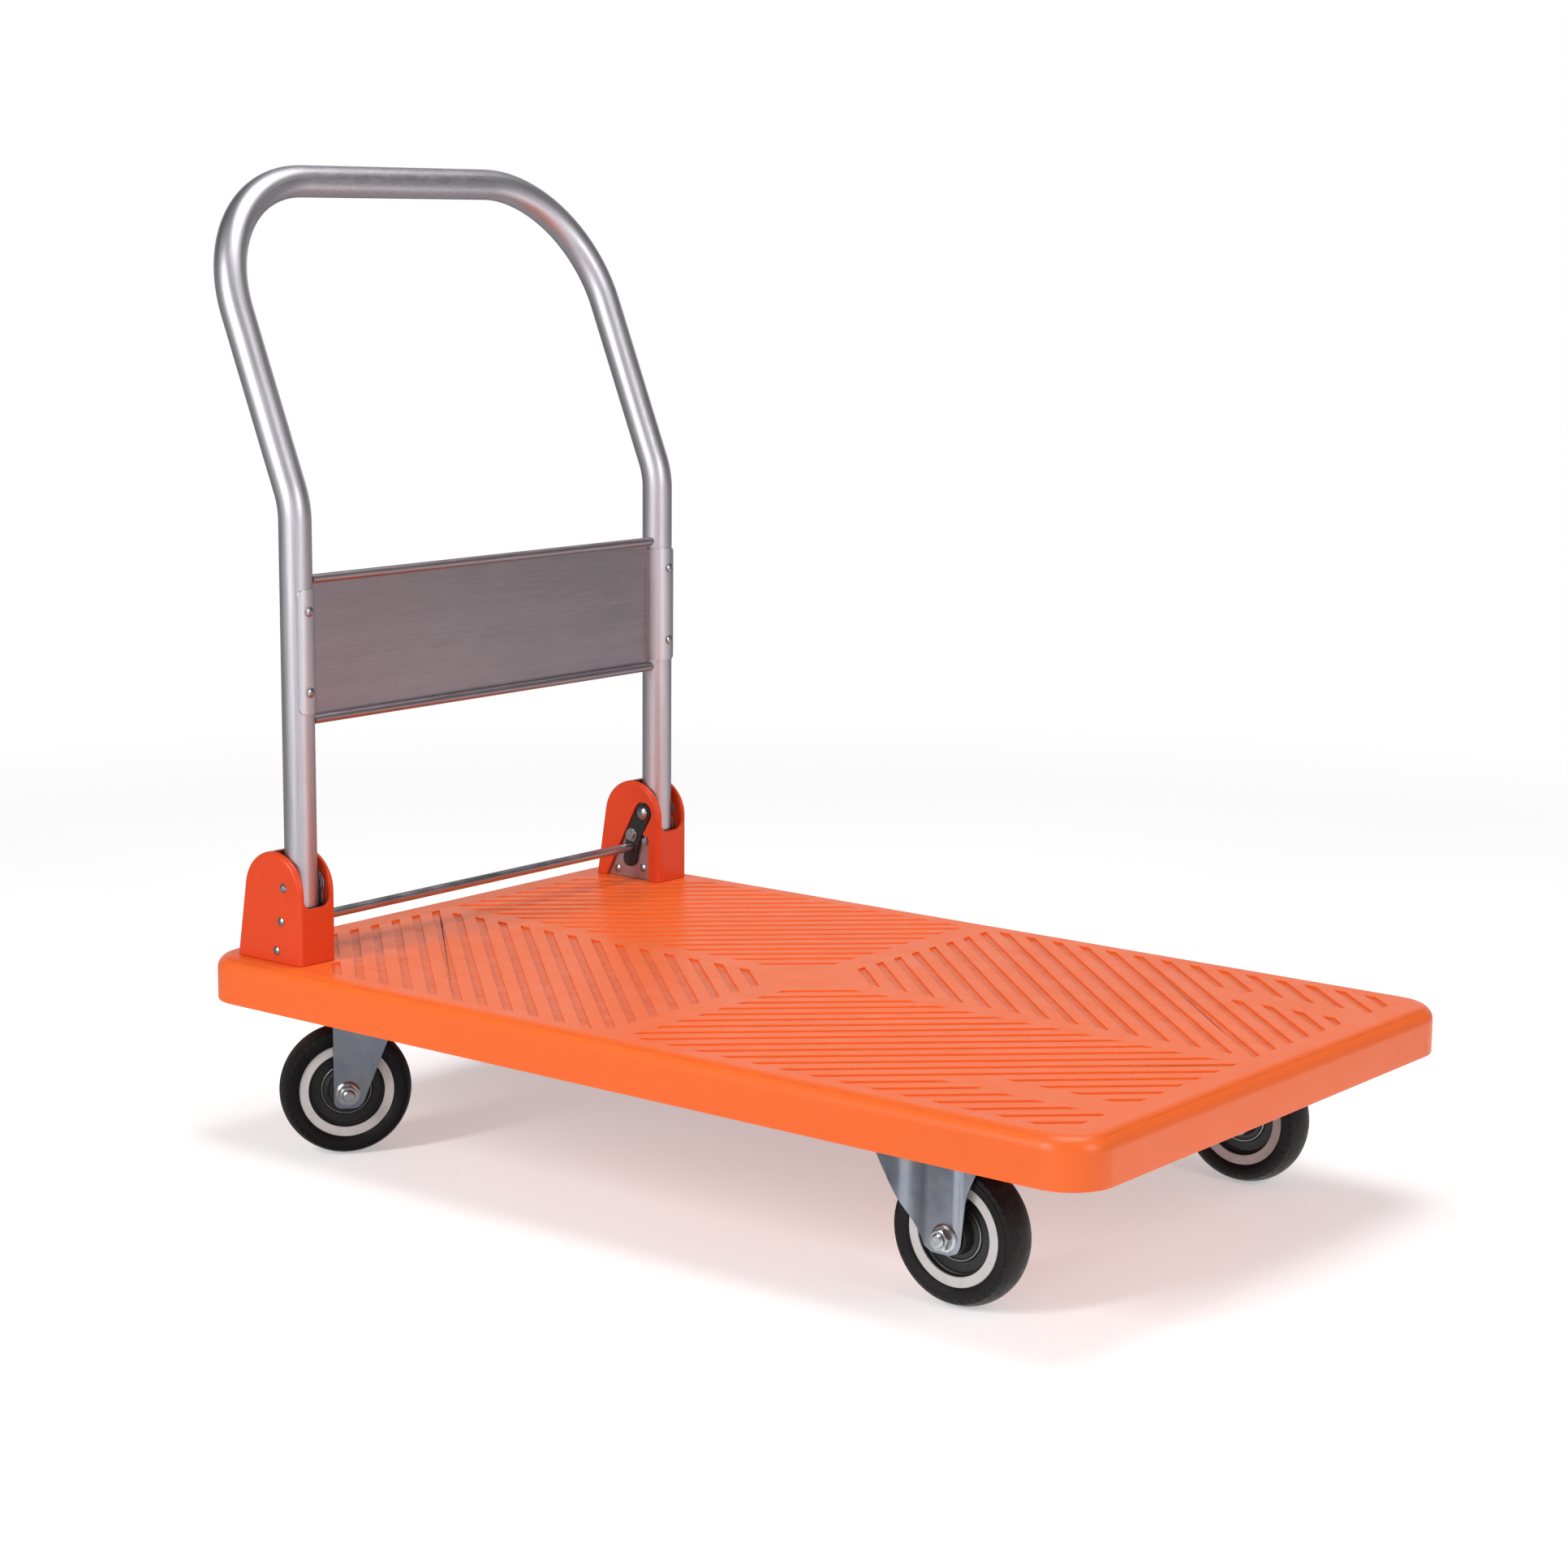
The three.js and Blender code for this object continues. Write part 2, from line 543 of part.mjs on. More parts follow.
for (const { name, sign } of sides) {
  const station = new THREE.Group();
  station.position.set(hinge.x, sign * hingeY, deckTop);
  const [innerSeat, outerSeat] = [-tubeRadius - gap - hinge.washerThickness, tubeRadius + gap];
  cart.add(station);
  addPiece(`${name}_hinge_housing`, hingeHousing(sign), 'housingPlastic', station);
  addPiece(`${name}_hinge_bracket`, hingeBracket(sign), 'brushedSteel', station);
  addPiece(`${name}_pivot_bolt`, pivotBolt(sign), 'brightSteel', station);
  addPiece(`${name}_lock_lever`, lockLever(sign), 'blackSteel', station);
  addPiece(`${name}_lock_stud`, lockStudBody(sign), 'brightSteel', station);
  addPiece(`${name}_guide_bolt`, guideBoltBody(sign), 'brightSteel', station);
  addPiece(`${name}_washer_outer`, pivotWasher(sign > 0 ? outerSeat : innerSeat), 'brightSteel', station);
  addPiece(`${name}_washer_inner`, pivotWasher(sign > 0 ? innerSeat : outerSeat), 'brightSteel', station);
  houseScrew.places.forEach((place, i) => {
    addPiece(`${name}_housing_screw_${i + 1}`, houseScrewBody(sign, place), 'brightSteel', station);
  });
}

const barHalf = hingeY - leverOuter - gap;
addPiece('foot_bar', rodY(footBar.radius, -barHalf, barHalf, hinge.x - lever.bar[0], pivotZ - lever.bar[1], 12),
  'satinSteel');

// ---------------------------------------------------------------- handle
// A curve that is given by stations: only bends are stepped, straights run from end to end.
class StationCurve extends THREE.Curve {
  constructor(stations) {
    super();
    this.stations = stations;
  }

  getSpacedPoints() {
    return this.stations.map(({ point }) => point.clone());
  }

  getTangentAt(u, target = new THREE.Vector3()) {
    const index = Math.round(u * (this.stations.length - 1));
    return target.copy(this.stations[index].tangent);
  }

  getPointAt(u, target = new THREE.Vector3()) {
    const index = Math.round(u * (this.stations.length - 1));
    return target.copy(this.stations[index].point);
  }
}

// Stations of half the handle, from the right stub up to the middle of the top bar.
function handleStations() {
  const { bendRadius, cornerRadius, lean } = handle;
  const up = new THREE.Vector3(0, 0, 1);
  const back = new THREE.Vector3(-Math.sin(lean), 0, Math.cos(lean));
  const inward = new THREE.Vector3(0, 1, 0);
  const bendZ = deckTop + handle.bendRise;
  const tangentRun = bendRadius * Math.tan(lean / 2);
  const slant = (handle.topRise - handle.bendRise) / Math.cos(lean);
  const y = -hingeY;
  const stations = [{ point: new THREE.Vector3(hinge.x, y, pivotZ - handle.stub), tangent: up }];
  const bendSteps = 2;
  for (let i = 0; i <= bendSteps; i += 1) {
    const angle = lean * i / bendSteps;
    stations.push({
      point: new THREE.Vector3(hinge.x - bendRadius * (1 - Math.cos(angle)), y,
        bendZ - tangentRun + bendRadius * Math.sin(angle)),
      tangent: new THREE.Vector3(-Math.sin(angle), 0, Math.cos(angle)),
    });
  }
  const bendCorner = new THREE.Vector3(hinge.x, y, bendZ);
  const cornerCentre = bendCorner.clone().addScaledVector(back, slant - cornerRadius)
    .addScaledVector(inward, cornerRadius);
  const cornerSteps = 5;
  for (let i = 0; i <= cornerSteps; i += 1) {
    const angle = Math.PI / 2 * i / cornerSteps;
    stations.push({
      point: cornerCentre.clone().addScaledVector(inward, -cornerRadius * Math.cos(angle))
        .addScaledVector(back, cornerRadius * Math.sin(angle)),
      tangent: back.clone().multiplyScalar(Math.cos(angle)).addScaledVector(inward, Math.sin(angle)),
    });
  }
  return stations;
}

function handleTube() {
  const half = handleStations();
  const mirrored = half.map(({ point, tangent }) => ({
    point: new THREE.Vector3(point.x, -point.y, point.z),
    tangent: new THREE.Vector3(-tangent.x, tangent.y, -tangent.z),
  })).reverse();
  const path = new StationCurve([...half, ...mirrored]);
  const steps = path.stations.length - 1;
  const ring = (radius) => new THREE.Shape().absarc(0, 0, radius, 0, 2 * Math.PI);
  const sweep = (radius) => solid(new THREE.ExtrudeGeometry(ring(radius), {
    extrudePath: path, steps, curveSegments: 7,
  }));
  const bore = sweep(tubeRadius - handle.wall);
  const boltHoles = sides.map(({ sign }) => rodY(hinge.boltRadius + gap, sign * hingeY - reach / 2,
    sign * hingeY + reach / 2, hinge.x, pivotZ));
  const screwHoles = panelScrewPlaces().map(({ y, z }) => rodX(panel.screwRadius + gap, hinge.x,
    hinge.x + reach / 2, y, z));
  return { outer: sweep(tubeRadius), bore, holes: joined([...boltHoles, ...screwHoles]) };
}

function rodX(radius, x0, x1, y, z, segments = 8) {
  const geometry = new THREE.CylinderGeometry(radius, radius, x1 - x0, segments);
  return solid(geometry.rotateZ(Math.PI / 2).translate((x0 + x1) / 2, y, z));
}

function panelScrewPlaces() {
  const middle = deckTop + (panel.low + panel.high) / 2;
  return sides.flatMap(({ name, sign }) => [1, -1].map((step) => ({
    name: `panel_screw_${name}_${step > 0 ? 'upper' : 'lower'}`,
    y: sign * hingeY, z: middle + step * panel.screwSpacing / 2,
  })));
}

// The bore has to open at both ends, so the inner sweep is lengthened by short plugs of its size.
function hollowTube() {
  const { outer, bore, holes } = handleTube();
  const ends = sides.map(({ sign }) => rodZ(tubeRadius - handle.wall - 0.01, pivotZ - handle.stub - 1,
    pivotZ - handle.stub + 1, hinge.x, sign * hingeY, 14));
  return outer.subtract(bore.add(joined(ends))).subtract(holes);
}

// Sheet between the uprights, curled at both long edges, with a wing round the front of each tube.
function handlePanel() {
  const low = deckTop + panel.low;
  const high = deckTop + panel.high;
  const half = hingeY - tubeRadius - gap;
  const inner = tubeRadius + gap;
  const outer = inner + panel.sheet;
  const wingEnd = outer * Math.sin(panel.wingPast);
  const wingTrim = prismX(roundedRectangle(reach, (high - low) / 2 - panel.wingMargin, panel.wingCorner),
    hinge.x - reach, hinge.x + reach, 2);
  let body = box(hinge.x - panel.sheet / 2, hinge.x + panel.sheet / 2, -half - 0.1, half + 0.1, low, high);
  for (const z of [low, high]) {
    const shift = panel.hemRadius - panel.sheet / 2;
    body = body.add(rodY(panel.hemRadius, -half + 2, half - 2, hinge.x + shift, z, 10));
  }
  for (const { sign } of sides) {
    const wing = new THREE.Shape();
    const inwardAngle = -sign * Math.PI / 2;
    const pastAngle = sign * panel.wingPast;
    const slack = 0.1;
    wing.absarc(0, 0, outer, inwardAngle - sign * slack, pastAngle, sign < 0);
    wing.absarc(0, 0, inner, pastAngle, inwardAngle - sign * slack, sign > 0);
    const trim = wingTrim.translate([0, sign * (hingeY + wingEnd - reach), (low + high) / 2]);
    body = body.add(prismZ(wing, low, high, 5).translate([hinge.x, sign * hingeY, 0]).intersect(trim));
  }
  for (const { y, z } of panelScrewPlaces()) {
    body = body.subtract(rodX(panel.screwRadius + gap, hinge.x + tubeRadius / 2, hinge.x + reach / 2, y, z));
  }
  return body;
}

function panelScrew({ y, z }) {
  const seat = tubeRadius + 2 * gap + panel.sheet;
  const { screwRadius, screwHead, screwHeight } = panel;
  const screw = turnedY([[0, tubeRadius - 3], [screwRadius, tubeRadius - 3], [screwRadius, seat], [screwHead, seat],
    [screwHead * 0.75, seat + screwHeight * 0.75], [0, seat + screwHeight]], 10);
  return screw.rotate([0, 0, -90]).translate([hinge.x, y, z]);
}

addPiece('handle_tube', hollowTube(), 'satinSteel');
addPiece('handle_panel', handlePanel(), 'brushedSteel');
for (const place of panelScrewPlaces()) addPiece(place.name, panelScrew(place), 'brightSteel');

// ---------------------------------------------------------------- wheels and casters
function tyreProfile() {
  const half = wheel.width / 2;
  const inner = wheel.radius - wheel.tyre;
  const { radius, rimHalf } = wheel;
  return [[inner, -rimHalf], [radius - 10, -half], [radius - 3, -half + 4], [radius, -half + 11],
    [radius, half - 11], [radius - 3, half - 4], [radius - 10, half], [inner, rimHalf], [inner, -rimHalf]];
}

function hubProfile() {
  const rim = wheel.radius - wheel.tyre - gap;
  const { rimHalf, webHalf, hubRadius, hubHalf } = wheel;
  const bore = caster.axleRadius + wheel.sleeveWall + 2 * gap;
  const side = (s) => [[bore, s * hubHalf], [hubRadius, s * hubHalf], [hubRadius + 2, s * webHalf],
    [rim - 9, s * webHalf], [rim, s * rimHalf]];
  return [...side(-1), ...side(1).reverse(), [bore, -hubHalf]];
}

function axleSleeve() {
  const [inner, outer] = [caster.axleRadius + gap, caster.axleRadius + gap + wheel.sleeveWall];
  const half = forkInner - gap;
  return turnedY([[inner, -half], [outer, -half], [outer, half], [inner, half], [inner, -half]], 10);
}

// Axle bolt with a hex head on the +Y side; its plain end carries the nut.
function axleBolt() {
  const head = forkOuter + gap;
  const end = -forkOuter - gap - caster.nutHeight - caster.axleEnd;
  const { axleRadius, axleHead, axleHeadHeight } = caster;
  const shank = turnedY([[0, end], [axleRadius - 1, end], [axleRadius, end + 1], [axleRadius, head + 1],
    [0, head + 1]], 10);
  const hex = turnedY([[0, head], [axleHead, head], [axleHead, head + axleHeadHeight - 1.5],
    [axleHead - 1.6, head + axleHeadHeight], [0, head + axleHeadHeight]], 6);
  return shank.add(hex);
}

function axleNut() {
  const seat = -forkOuter - gap;
  const { axleRadius, axleHead, nutHeight, nutFlange } = caster;
  const hex = turnedY([[0, seat - nutHeight], [axleHead - 2, seat - nutHeight], [axleHead, seat - nutHeight + 2],
    [axleHead, seat], [0, seat]], 6);
  const flange = turnedY([[0, seat - 2], [nutFlange - 1, seat - 2], [nutFlange, seat - 0.8], [nutFlange, seat],
    [0, seat]], 12);
  return hex.add(flange).subtract(rodY(axleRadius + gap, seat - nutHeight - 1, seat + 1, 0, 0, 10));
}

function mountPlate() {
  const shape = roundedRectangle(caster.plateLength / 2, caster.plateWidth / 2, caster.plateCorner);
  const top = caster.height - gap;
  let body = prismZ(shape, top - caster.plateThickness, top, 2);
  for (const [x, y] of casterBoltPlaces()) {
    const head = rodZ(caster.boltHead, top - caster.plateThickness - caster.boltHeadHeight,
      top - caster.plateThickness + 1, x, y, 6);
    body = body.add(head).add(rodZ(caster.boltRadius, top - 1, deckTop - deck.top - 2, x, y, 6));
  }
  return body;
}

// A fork leg from the side: round toe at the axle, edges that open up towards its top.
function legOutline(frontX, rearX, topZ) {
  const { toeRadius } = caster;
  const tangent = (x) => {
    const [dx, dz] = [x, topZ - wheel.radius];
    return Math.atan2(dz, dx) - Math.sign(x) * Math.acos(toeRadius / Math.hypot(dx, dz));
  };
  const shape = new THREE.Shape();
  shape.absarc(0, wheel.radius, toeRadius, tangent(rearX), tangent(frontX) + 2 * Math.PI);
  shape.lineTo(frontX, topZ);
  shape.lineTo(rearX, topZ);
  return shape;
}

function forkLegs(outline) {
  const legs = sides.map(({ sign }) => prismY(outline, sign > 0 ? forkInner : -forkOuter,
    sign > 0 ? forkOuter : -forkInner, 4));
  return joined(legs);
}

function axleHole() {
  return rodY(caster.axleRadius + gap, -forkOuter - 1, forkOuter + 1, 0, wheel.radius, 10);
}

// A rigid fork, drawn about its axle: straight-edged legs that flare to the plate's full length.
function rigidFork() {
  const rise = caster.height - gap - caster.plateThickness + 1 - wheel.radius;
  const outline = new THREE.Shape();
  outline.moveTo(rigid.legRear[0][0], wheel.radius + rise);
  for (const [x, z] of [...rigid.legRear, ...rigid.toe, ...rigid.legFront]) outline.lineTo(x, wheel.radius + z);
  outline.lineTo(rigid.legFront.at(-1)[0], wheel.radius + rise);
  return mountPlate().translate([-rigid.plateBack, 0, 0]).add(forkLegs(outline)).subtract(axleHole());
}

// Local frame of a swivel fork: the axle lies at x = 0, the kingpin at x = trail.
function swivelFork() {
  const { trail, crownHeight, crownRadius, legFront, legRear } = swivel;
  const crownLow = crownHeight - caster.sheet;
  const outline = new THREE.Shape();
  outline.moveTo(-legRear, -forkOuter);
  outline.lineTo(trail, -crownRadius);
  outline.absarc(trail, 0, crownRadius, -Math.PI / 2, Math.PI / 2);
  outline.lineTo(-legRear, forkOuter);
  const legs = forkLegs(legOutline(legFront, -legRear, crownLow + 1));
  const cup = turnedZ([[0, crownLow], [swivel.raceRadius - 4, crownLow], [swivel.raceRadius - 6, crownHeight + 7],
    [0, crownHeight + 7]], 12).translate([trail, 0, 0]);
  return prismZ(outline, crownLow, crownHeight, 5).add(legs).add(cup).subtract(axleHole())
    .subtract(rodZ(swivel.kingpinRadius + gap, crownLow - 1, crownHeight + 8, trail, 0));
}

// Upper plate of a swivel caster, with the bolts that hold it and the race cup pressed into it.
function swivelPlate() {
  const top = caster.height - gap - caster.plateThickness;
  const cup = turnedZ([[0, top + 1], [swivel.raceRadius, top + 1], [swivel.raceRadius, top - 2],
    [swivel.raceRadius - 2, swivel.crownHeight + 10], [0, swivel.crownHeight + 10]], 12);
  return mountPlate().add(cup)
    .subtract(rodZ(swivel.kingpinRadius + gap, swivel.crownHeight, caster.height + 1));
}

function ballRace() {
  const [low, high] = [swivel.crownHeight + 7 + gap, swivel.crownHeight + 10 - gap];
  const inner = swivel.kingpinRadius + gap + 6;
  const outer = swivel.raceRadius - 8;
  return turnedZ([[inner, low], [outer, low], [outer, high], [inner, high], [inner, low]], 12);
}

function kingpin() {
  const low = swivel.crownHeight - caster.sheet - gap;
  const { kingpinRadius, kingpinHead } = swivel;
  return turnedZ([[0, low - 6], [kingpinHead - 1, low - 6], [kingpinHead, low - 5], [kingpinHead, low],
    [kingpinRadius, low], [kingpinRadius, caster.height - 2 * gap], [0, caster.height - 2 * gap]], 12);
}

function addWheel(name, parent) {
  const raise = (body) => body.translate([0, 0, wheel.radius]);
  addPiece(`${name}_tyre`, raise(turnedY(tyreProfile(), wheel.sides)), 'tyreRubber', parent);
  addPiece(`${name}_hub`, raise(turnedY(hubProfile(), wheel.sides)), 'hubPlastic', parent);
  addPiece(`${name}_axle_sleeve`, raise(axleSleeve()), 'zincSteel', parent);
  addPiece(`${name}_axle_bolt`, raise(axleBolt()), 'brightSteel', parent);
  addPiece(`${name}_axle_nut`, raise(axleNut()), 'brightSteel', parent);
}

for (const { name, sign } of sides) {
  const front = new THREE.Group();
  front.position.set(rigid.x, sign * rigid.y, 0);
  cart.add(front);
  addPiece(`front_${name}_fork`, rigidFork(), 'zincSteel', front);
  addWheel(`front_${name}`, front);

  const rear = new THREE.Group();
  rear.position.set(swivel.x, sign * swivel.y, 0);
  cart.add(rear);
  addPiece(`rear_${name}_plate`, swivelPlate(), 'zincSteel', rear);
  addPiece(`rear_${name}_kingpin`, kingpin(), 'brightSteel', rear);
  const turning = new THREE.Group();
  turning.rotation.z = swivel.rest;
  rear.add(turning);
  const offset = new THREE.Group();
  offset.position.x = -swivel.trail;
  turning.add(offset);
  addPiece(`rear_${name}_fork`, swivelFork(), 'zincSteel', offset);
  addPiece(`rear_${name}_ball_race`, ballRace(), 'brightSteel', turning);
  addWheel(`rear_${name}`, offset);
}

// ---------------------------------------------------------------- origin
const group = new THREE.Group();
group.add(cart);
group.updateMatrixWorld(true);
const whole = new THREE.Box3().setFromObject(cart, true);
cart.position.x = -(whole.min.x + whole.max.x) / 2;

export default group;
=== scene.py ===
import json
import math
from functools import cache
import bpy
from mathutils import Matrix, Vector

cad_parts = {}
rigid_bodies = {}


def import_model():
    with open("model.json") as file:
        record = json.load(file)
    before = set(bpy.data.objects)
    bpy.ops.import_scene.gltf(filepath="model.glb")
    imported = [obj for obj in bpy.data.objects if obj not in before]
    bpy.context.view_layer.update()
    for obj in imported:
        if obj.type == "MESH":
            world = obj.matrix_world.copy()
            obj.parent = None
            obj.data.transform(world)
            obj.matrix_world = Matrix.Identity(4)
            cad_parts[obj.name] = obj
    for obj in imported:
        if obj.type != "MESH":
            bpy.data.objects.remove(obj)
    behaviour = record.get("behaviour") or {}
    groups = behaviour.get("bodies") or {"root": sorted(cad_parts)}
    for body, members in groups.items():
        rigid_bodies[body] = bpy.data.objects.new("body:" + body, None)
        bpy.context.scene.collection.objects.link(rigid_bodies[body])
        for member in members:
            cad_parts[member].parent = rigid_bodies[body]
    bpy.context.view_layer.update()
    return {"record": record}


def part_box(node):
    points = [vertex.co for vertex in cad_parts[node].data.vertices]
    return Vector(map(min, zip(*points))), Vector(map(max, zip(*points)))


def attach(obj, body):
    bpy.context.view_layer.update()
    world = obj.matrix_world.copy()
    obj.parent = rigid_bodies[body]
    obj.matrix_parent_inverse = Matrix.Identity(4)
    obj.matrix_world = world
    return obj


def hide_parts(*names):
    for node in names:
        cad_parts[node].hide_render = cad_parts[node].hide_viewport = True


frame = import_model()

from types import SimpleNamespace

import bpy
from mathutils import Matrix, Vector

bl_info = {
    "name": "Platform cart",
    "version": (1, 0, 0),
    "blender": (4, 5, 0),
    "location": "3D View > Sidebar > Cart",
    "description": "Builds a folding platform cart round its fixed frame",
    "category": "Object",
}

# ------------------------------------------------------------ places taken from the frame
X, Y, Z = Vector((1, 0, 0)), Vector((0, 1, 0)), Vector((0, 0, 1))
ORIGIN = Vector()
HANDS = {"left": 1, "right": -1}
# The clearance between faces, the reach of a merge, and the side of a plane that is merged to one point.
GAP, SAME_PLACE, SEED = 0.0003, 0.000002, 0.001
# How far a cutter reaches past the face that it opens, and how far one goes that cuts right through.
PAST, FAR = 0.001, 0.03
# A face whose normal's upright part is below this looks straight down.
STRAIGHT_DOWN = -0.99
# Radii of the holes for the hinge bolts, the lock's studs and guides, the housings' screws and the axles.
PIVOT_HOLE, STUD_HOLE, SCREW_HOLE, AXLE_HOLE = 0.0043, 0.0033, 0.0023, 0.0063


def middle(node):
    low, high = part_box(node)
    return (low + high) / 2


def upright(x, z):
    """A place in the plane that halves the cart."""
    return Vector((x, 0, z))


DECK_LOW, DECK_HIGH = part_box("deck")
DECK_MIDDLE = middle("deck")
DECK_TOP = DECK_HIGH.z
PIVOT = upright(middle("right_washer_inner").x, middle("right_washer_inner").z)
UPRIGHT_Y = middle("left_hinge_housing").y
RISE = PIVOT.z - DECK_TOP
RIGHT_HINGE = Vector((PIVOT.x, -UPRIGHT_Y, DECK_TOP))
AXLES = {wheel: middle(f"{wheel}_hub") for wheel in ("front_left", "front_right", "rear_left", "rear_right")}
KINGPINS = {f"rear_{hand}": middle(f"rear_{hand}_kingpin") for hand in HANDS}
TRAIL = KINGPINS["rear_right"] - AXLES["rear_right"]
REAR_TURN = math.atan2(TRAIL.y, TRAIL.x)
JOINTS = {joint["name"]: joint for joint in frame["record"]["behaviour"]["joints"]}
SWING = math.radians(JOINTS["lock_press"]["range_deg"][1])


# ------------------------------------------------------------ settings
def length(name, millimetres, description):
    return bpy.props.FloatProperty(
        name=name, description=description, default=millimetres / 1000, min=0, precision=4, unit="LENGTH",
        subtype="DISTANCE"
    )


def angle(name, degrees, description):
    return bpy.props.FloatProperty(
        name=name, description=description, default=math.radians(degrees), unit="ROTATION", subtype="ANGLE"
    )


def count(name, default, description):
    return bpy.props.IntProperty(name=name, description=description, default=default, min=1)


def tint(name, default, description):
    return bpy.props.FloatVectorProperty(
        name=name, description=description, default=default, min=0, max=1, size=3, subtype="COLOR"
    )


class DeckSettings(bpy.types.PropertyGroup):
    corner: length("Corner radius", 45, "Rounding of the deck's four corners seen from above")
    fillet: length("Edge rounding", 14, "Rounding of the deck's upper edge")
    skirt: length("Skirt", 5, "Thickness of the side wall")
    top: length("Top", 5, "Thickness of the load surface")
    rib: length("Rib", 4, "Thickness of the ribs below")
    rib_set_back: length("Rib set-back", 10, "How far the ribs stop above the skirt's edge")
    cells_long: count("Cells along", 10, "Rib cells along the deck")
    cells_wide: count("Cells across", 6, "Rib cells across the deck")
    groove_width: length("Groove width", 8.5, "Width of a tread groove at its floor")
    groove_depth: length("Groove depth", 2, "Depth of a tread groove")
    groove_pitch: length("Groove pitch", 32.5, "Spacing of the grooves along the deck's long axis")
    groove_angle: angle("Groove angle", 42.5, "Turn of the grooves from the deck's long axis")
    groove_first: length("First groove", 85, "Where the innermost groove meets the long axis")
    groove_shortest: length("Shortest groove", 20, "Grooves shorter than this at the corners are left out")
    lip: length("Groove lip", 0.6, "Rounding where a groove meets the load surface")
    band_across: length("Band across", 29, "Width of the plain band across the deck")
    band_along: length("Band along", 24, "Width of the plain band along the deck")
    border_end: length("End border", 37, "Plain border at both ends")
    border_side: length("Side border", 28, "Plain border along both sides")
    pad_length: length("Pad length", 128, "Plain pad at each front corner, along the deck")
    pad_width: length("Pad width", 36, "Plain pad at each front corner, across the deck")
    pad_inset: length("Pad inset", 90, "From the side of the deck to the plain pad")
    hinge_margin: length("Hinge margin", 8, "Plain border round each hinge housing")
    colour: tint("Deck colour", (0.880, 0.138, 0.022), "Orange of the deck")


class HandleSettings(bpy.types.PropertyGroup):
    radius: length("Tube radius", 16, "Outside radius of the handle tube")
    wall: length("Tube wall", 1.5, "Wall of the handle tube")
    stub: length("Stub", 20.5, "Tube below the hinge pivot")
    bend_rise: length("Bend height", 450, "Height of the backward bend above the deck")
    bend_radius: length("Bend radius", 80, "Radius of the backward bend")
    lean: angle("Lean", 22.5, "Backward lean of the upper handle")
    top_rise: length("Top height", 758, "Height of the top bar's axis above the deck")
    corner_radius: length("Corner radius", 136, "Radius of the two upper corners")
    colour: tint("Tube colour", (0.62, 0.595, 0.64), "Satin steel of the tube")


class PanelSettings(bpy.types.PropertyGroup):
    low: length("Lower edge", 239, "Height of the lower hem above the deck")
    high: length("Upper edge", 377, "Height of the upper hem above the deck")
    sheet: length("Sheet", 1.5, "Thickness of the sheet")
    hem: length("Hem radius", 4.5, "Outside radius of the curled hems")
    gap: length("Gap", 0.3, "From the tube to the wing round it")
    wing_margin: length("Wing margin", 8, "How far a wing stops short of the hems")
    wing_corner: length("Wing corner", 7, "Rounding of a wing's free corners")
    wing_past: angle("Wing reach", 40, "How far a wing reaches past the front of its tube")
    screw_spacing: length("Screw spacing", 79, "Between the two screws of a wing")
    screw_radius: length("Screw head", 5, "Radius of a panel screw's head")
    colour: tint("Panel colour", (0.43, 0.372, 0.403), "Brushed steel of the panel")


class HingeSettings(bpy.types.PropertyGroup):
    width: length("Housing width", 48, "Width of a housing across the cart")
    wall: length("Housing wall", 4, "Thickness of a housing's walls")
    front: length("Housing front", 23, "From the pivot forward to the housing's front")
    rear: length("Housing rear", 69, "From the pivot back to the foot of the housing")
    dome_radius: length("Dome radius", 40, "Radius of the domed top")
    dome_rise: length("Dome height", 70, "Height of the dome's centre above the deck")
    rounding: length("Edge rounding", 5, "Rounding of the housing's outer edges")
    slot_width: length("Slot width", 36, "Width of the slot that the tube folds through")
    slot_rise: length("Slot floor", 56, "Height of the slot's floor above the deck")
    slot_corner: length("Slot corner", 10, "Rounding of the slot's lower corners")
    slot_back: length("Slot back", 1.5, "From the tube's rear to the back of the slot")
    lobe: length("Window lobe", 12, "Radius of the cheek window round the pivot")
    window_front: length("Window front", 8, "From the pivot forward to the window's edge")
    window_rear: length("Window rear", 54, "From the pivot back to the foot of the window")
    notch_drop: length("Notch", 24.5, "From the pivot down to the notch over the guide bolt")
    ledge_drop: length("Ledge", 27.5, "From the pivot down to the ledge in front of the notch")
    overlap: length("Plate overlap", 3.5, "How far the bracket plate reaches past the window")
    head_radius: length("Lever head", 10.5, "Radius of the lock lever round its pivot")
    knee_radius: length("Lever knee", 9.5, "Radius of the lever at its knee")
    toe_radius: length("Lever toe", 8.5, "Radius of the lever's lower end")
    bar_radius: length("Foot bar radius", 5, "Radius of the foot bar")
    colour: tint("Housing colour", (0.710, 0.063, 0.015), "Red orange of the hinge housings")


class WheelSettings(bpy.types.PropertyGroup):
    radius: length("Wheel radius", 65, "Outside radius of a tyre")
    half_width: length("Half width", 18, "Half of a tyre's width")
    rim: length("Rim radius", 46.8, "Outside radius of the pale ring")
    ring: length("Ring inner radius", 37.4, "Inside radius of the pale ring")
    bead: length("Bead radius", 24.3, "Radius of the thin bright ring round the hub")
    hub: length("Hub radius", 17, "Radius of the hub")
    hub_half: length("Hub half length", 20, "Half of the hub's length")
    steps: count("Facets", 120, "Facets round a tyre")
    ring_colour: tint("Ring colour", (0.60, 0.58, 0.57), "Pale grey of the ring")
    rubber: tint("Rubber colour", (0.0055, 0.0044, 0.0052), "Black of the tyres")


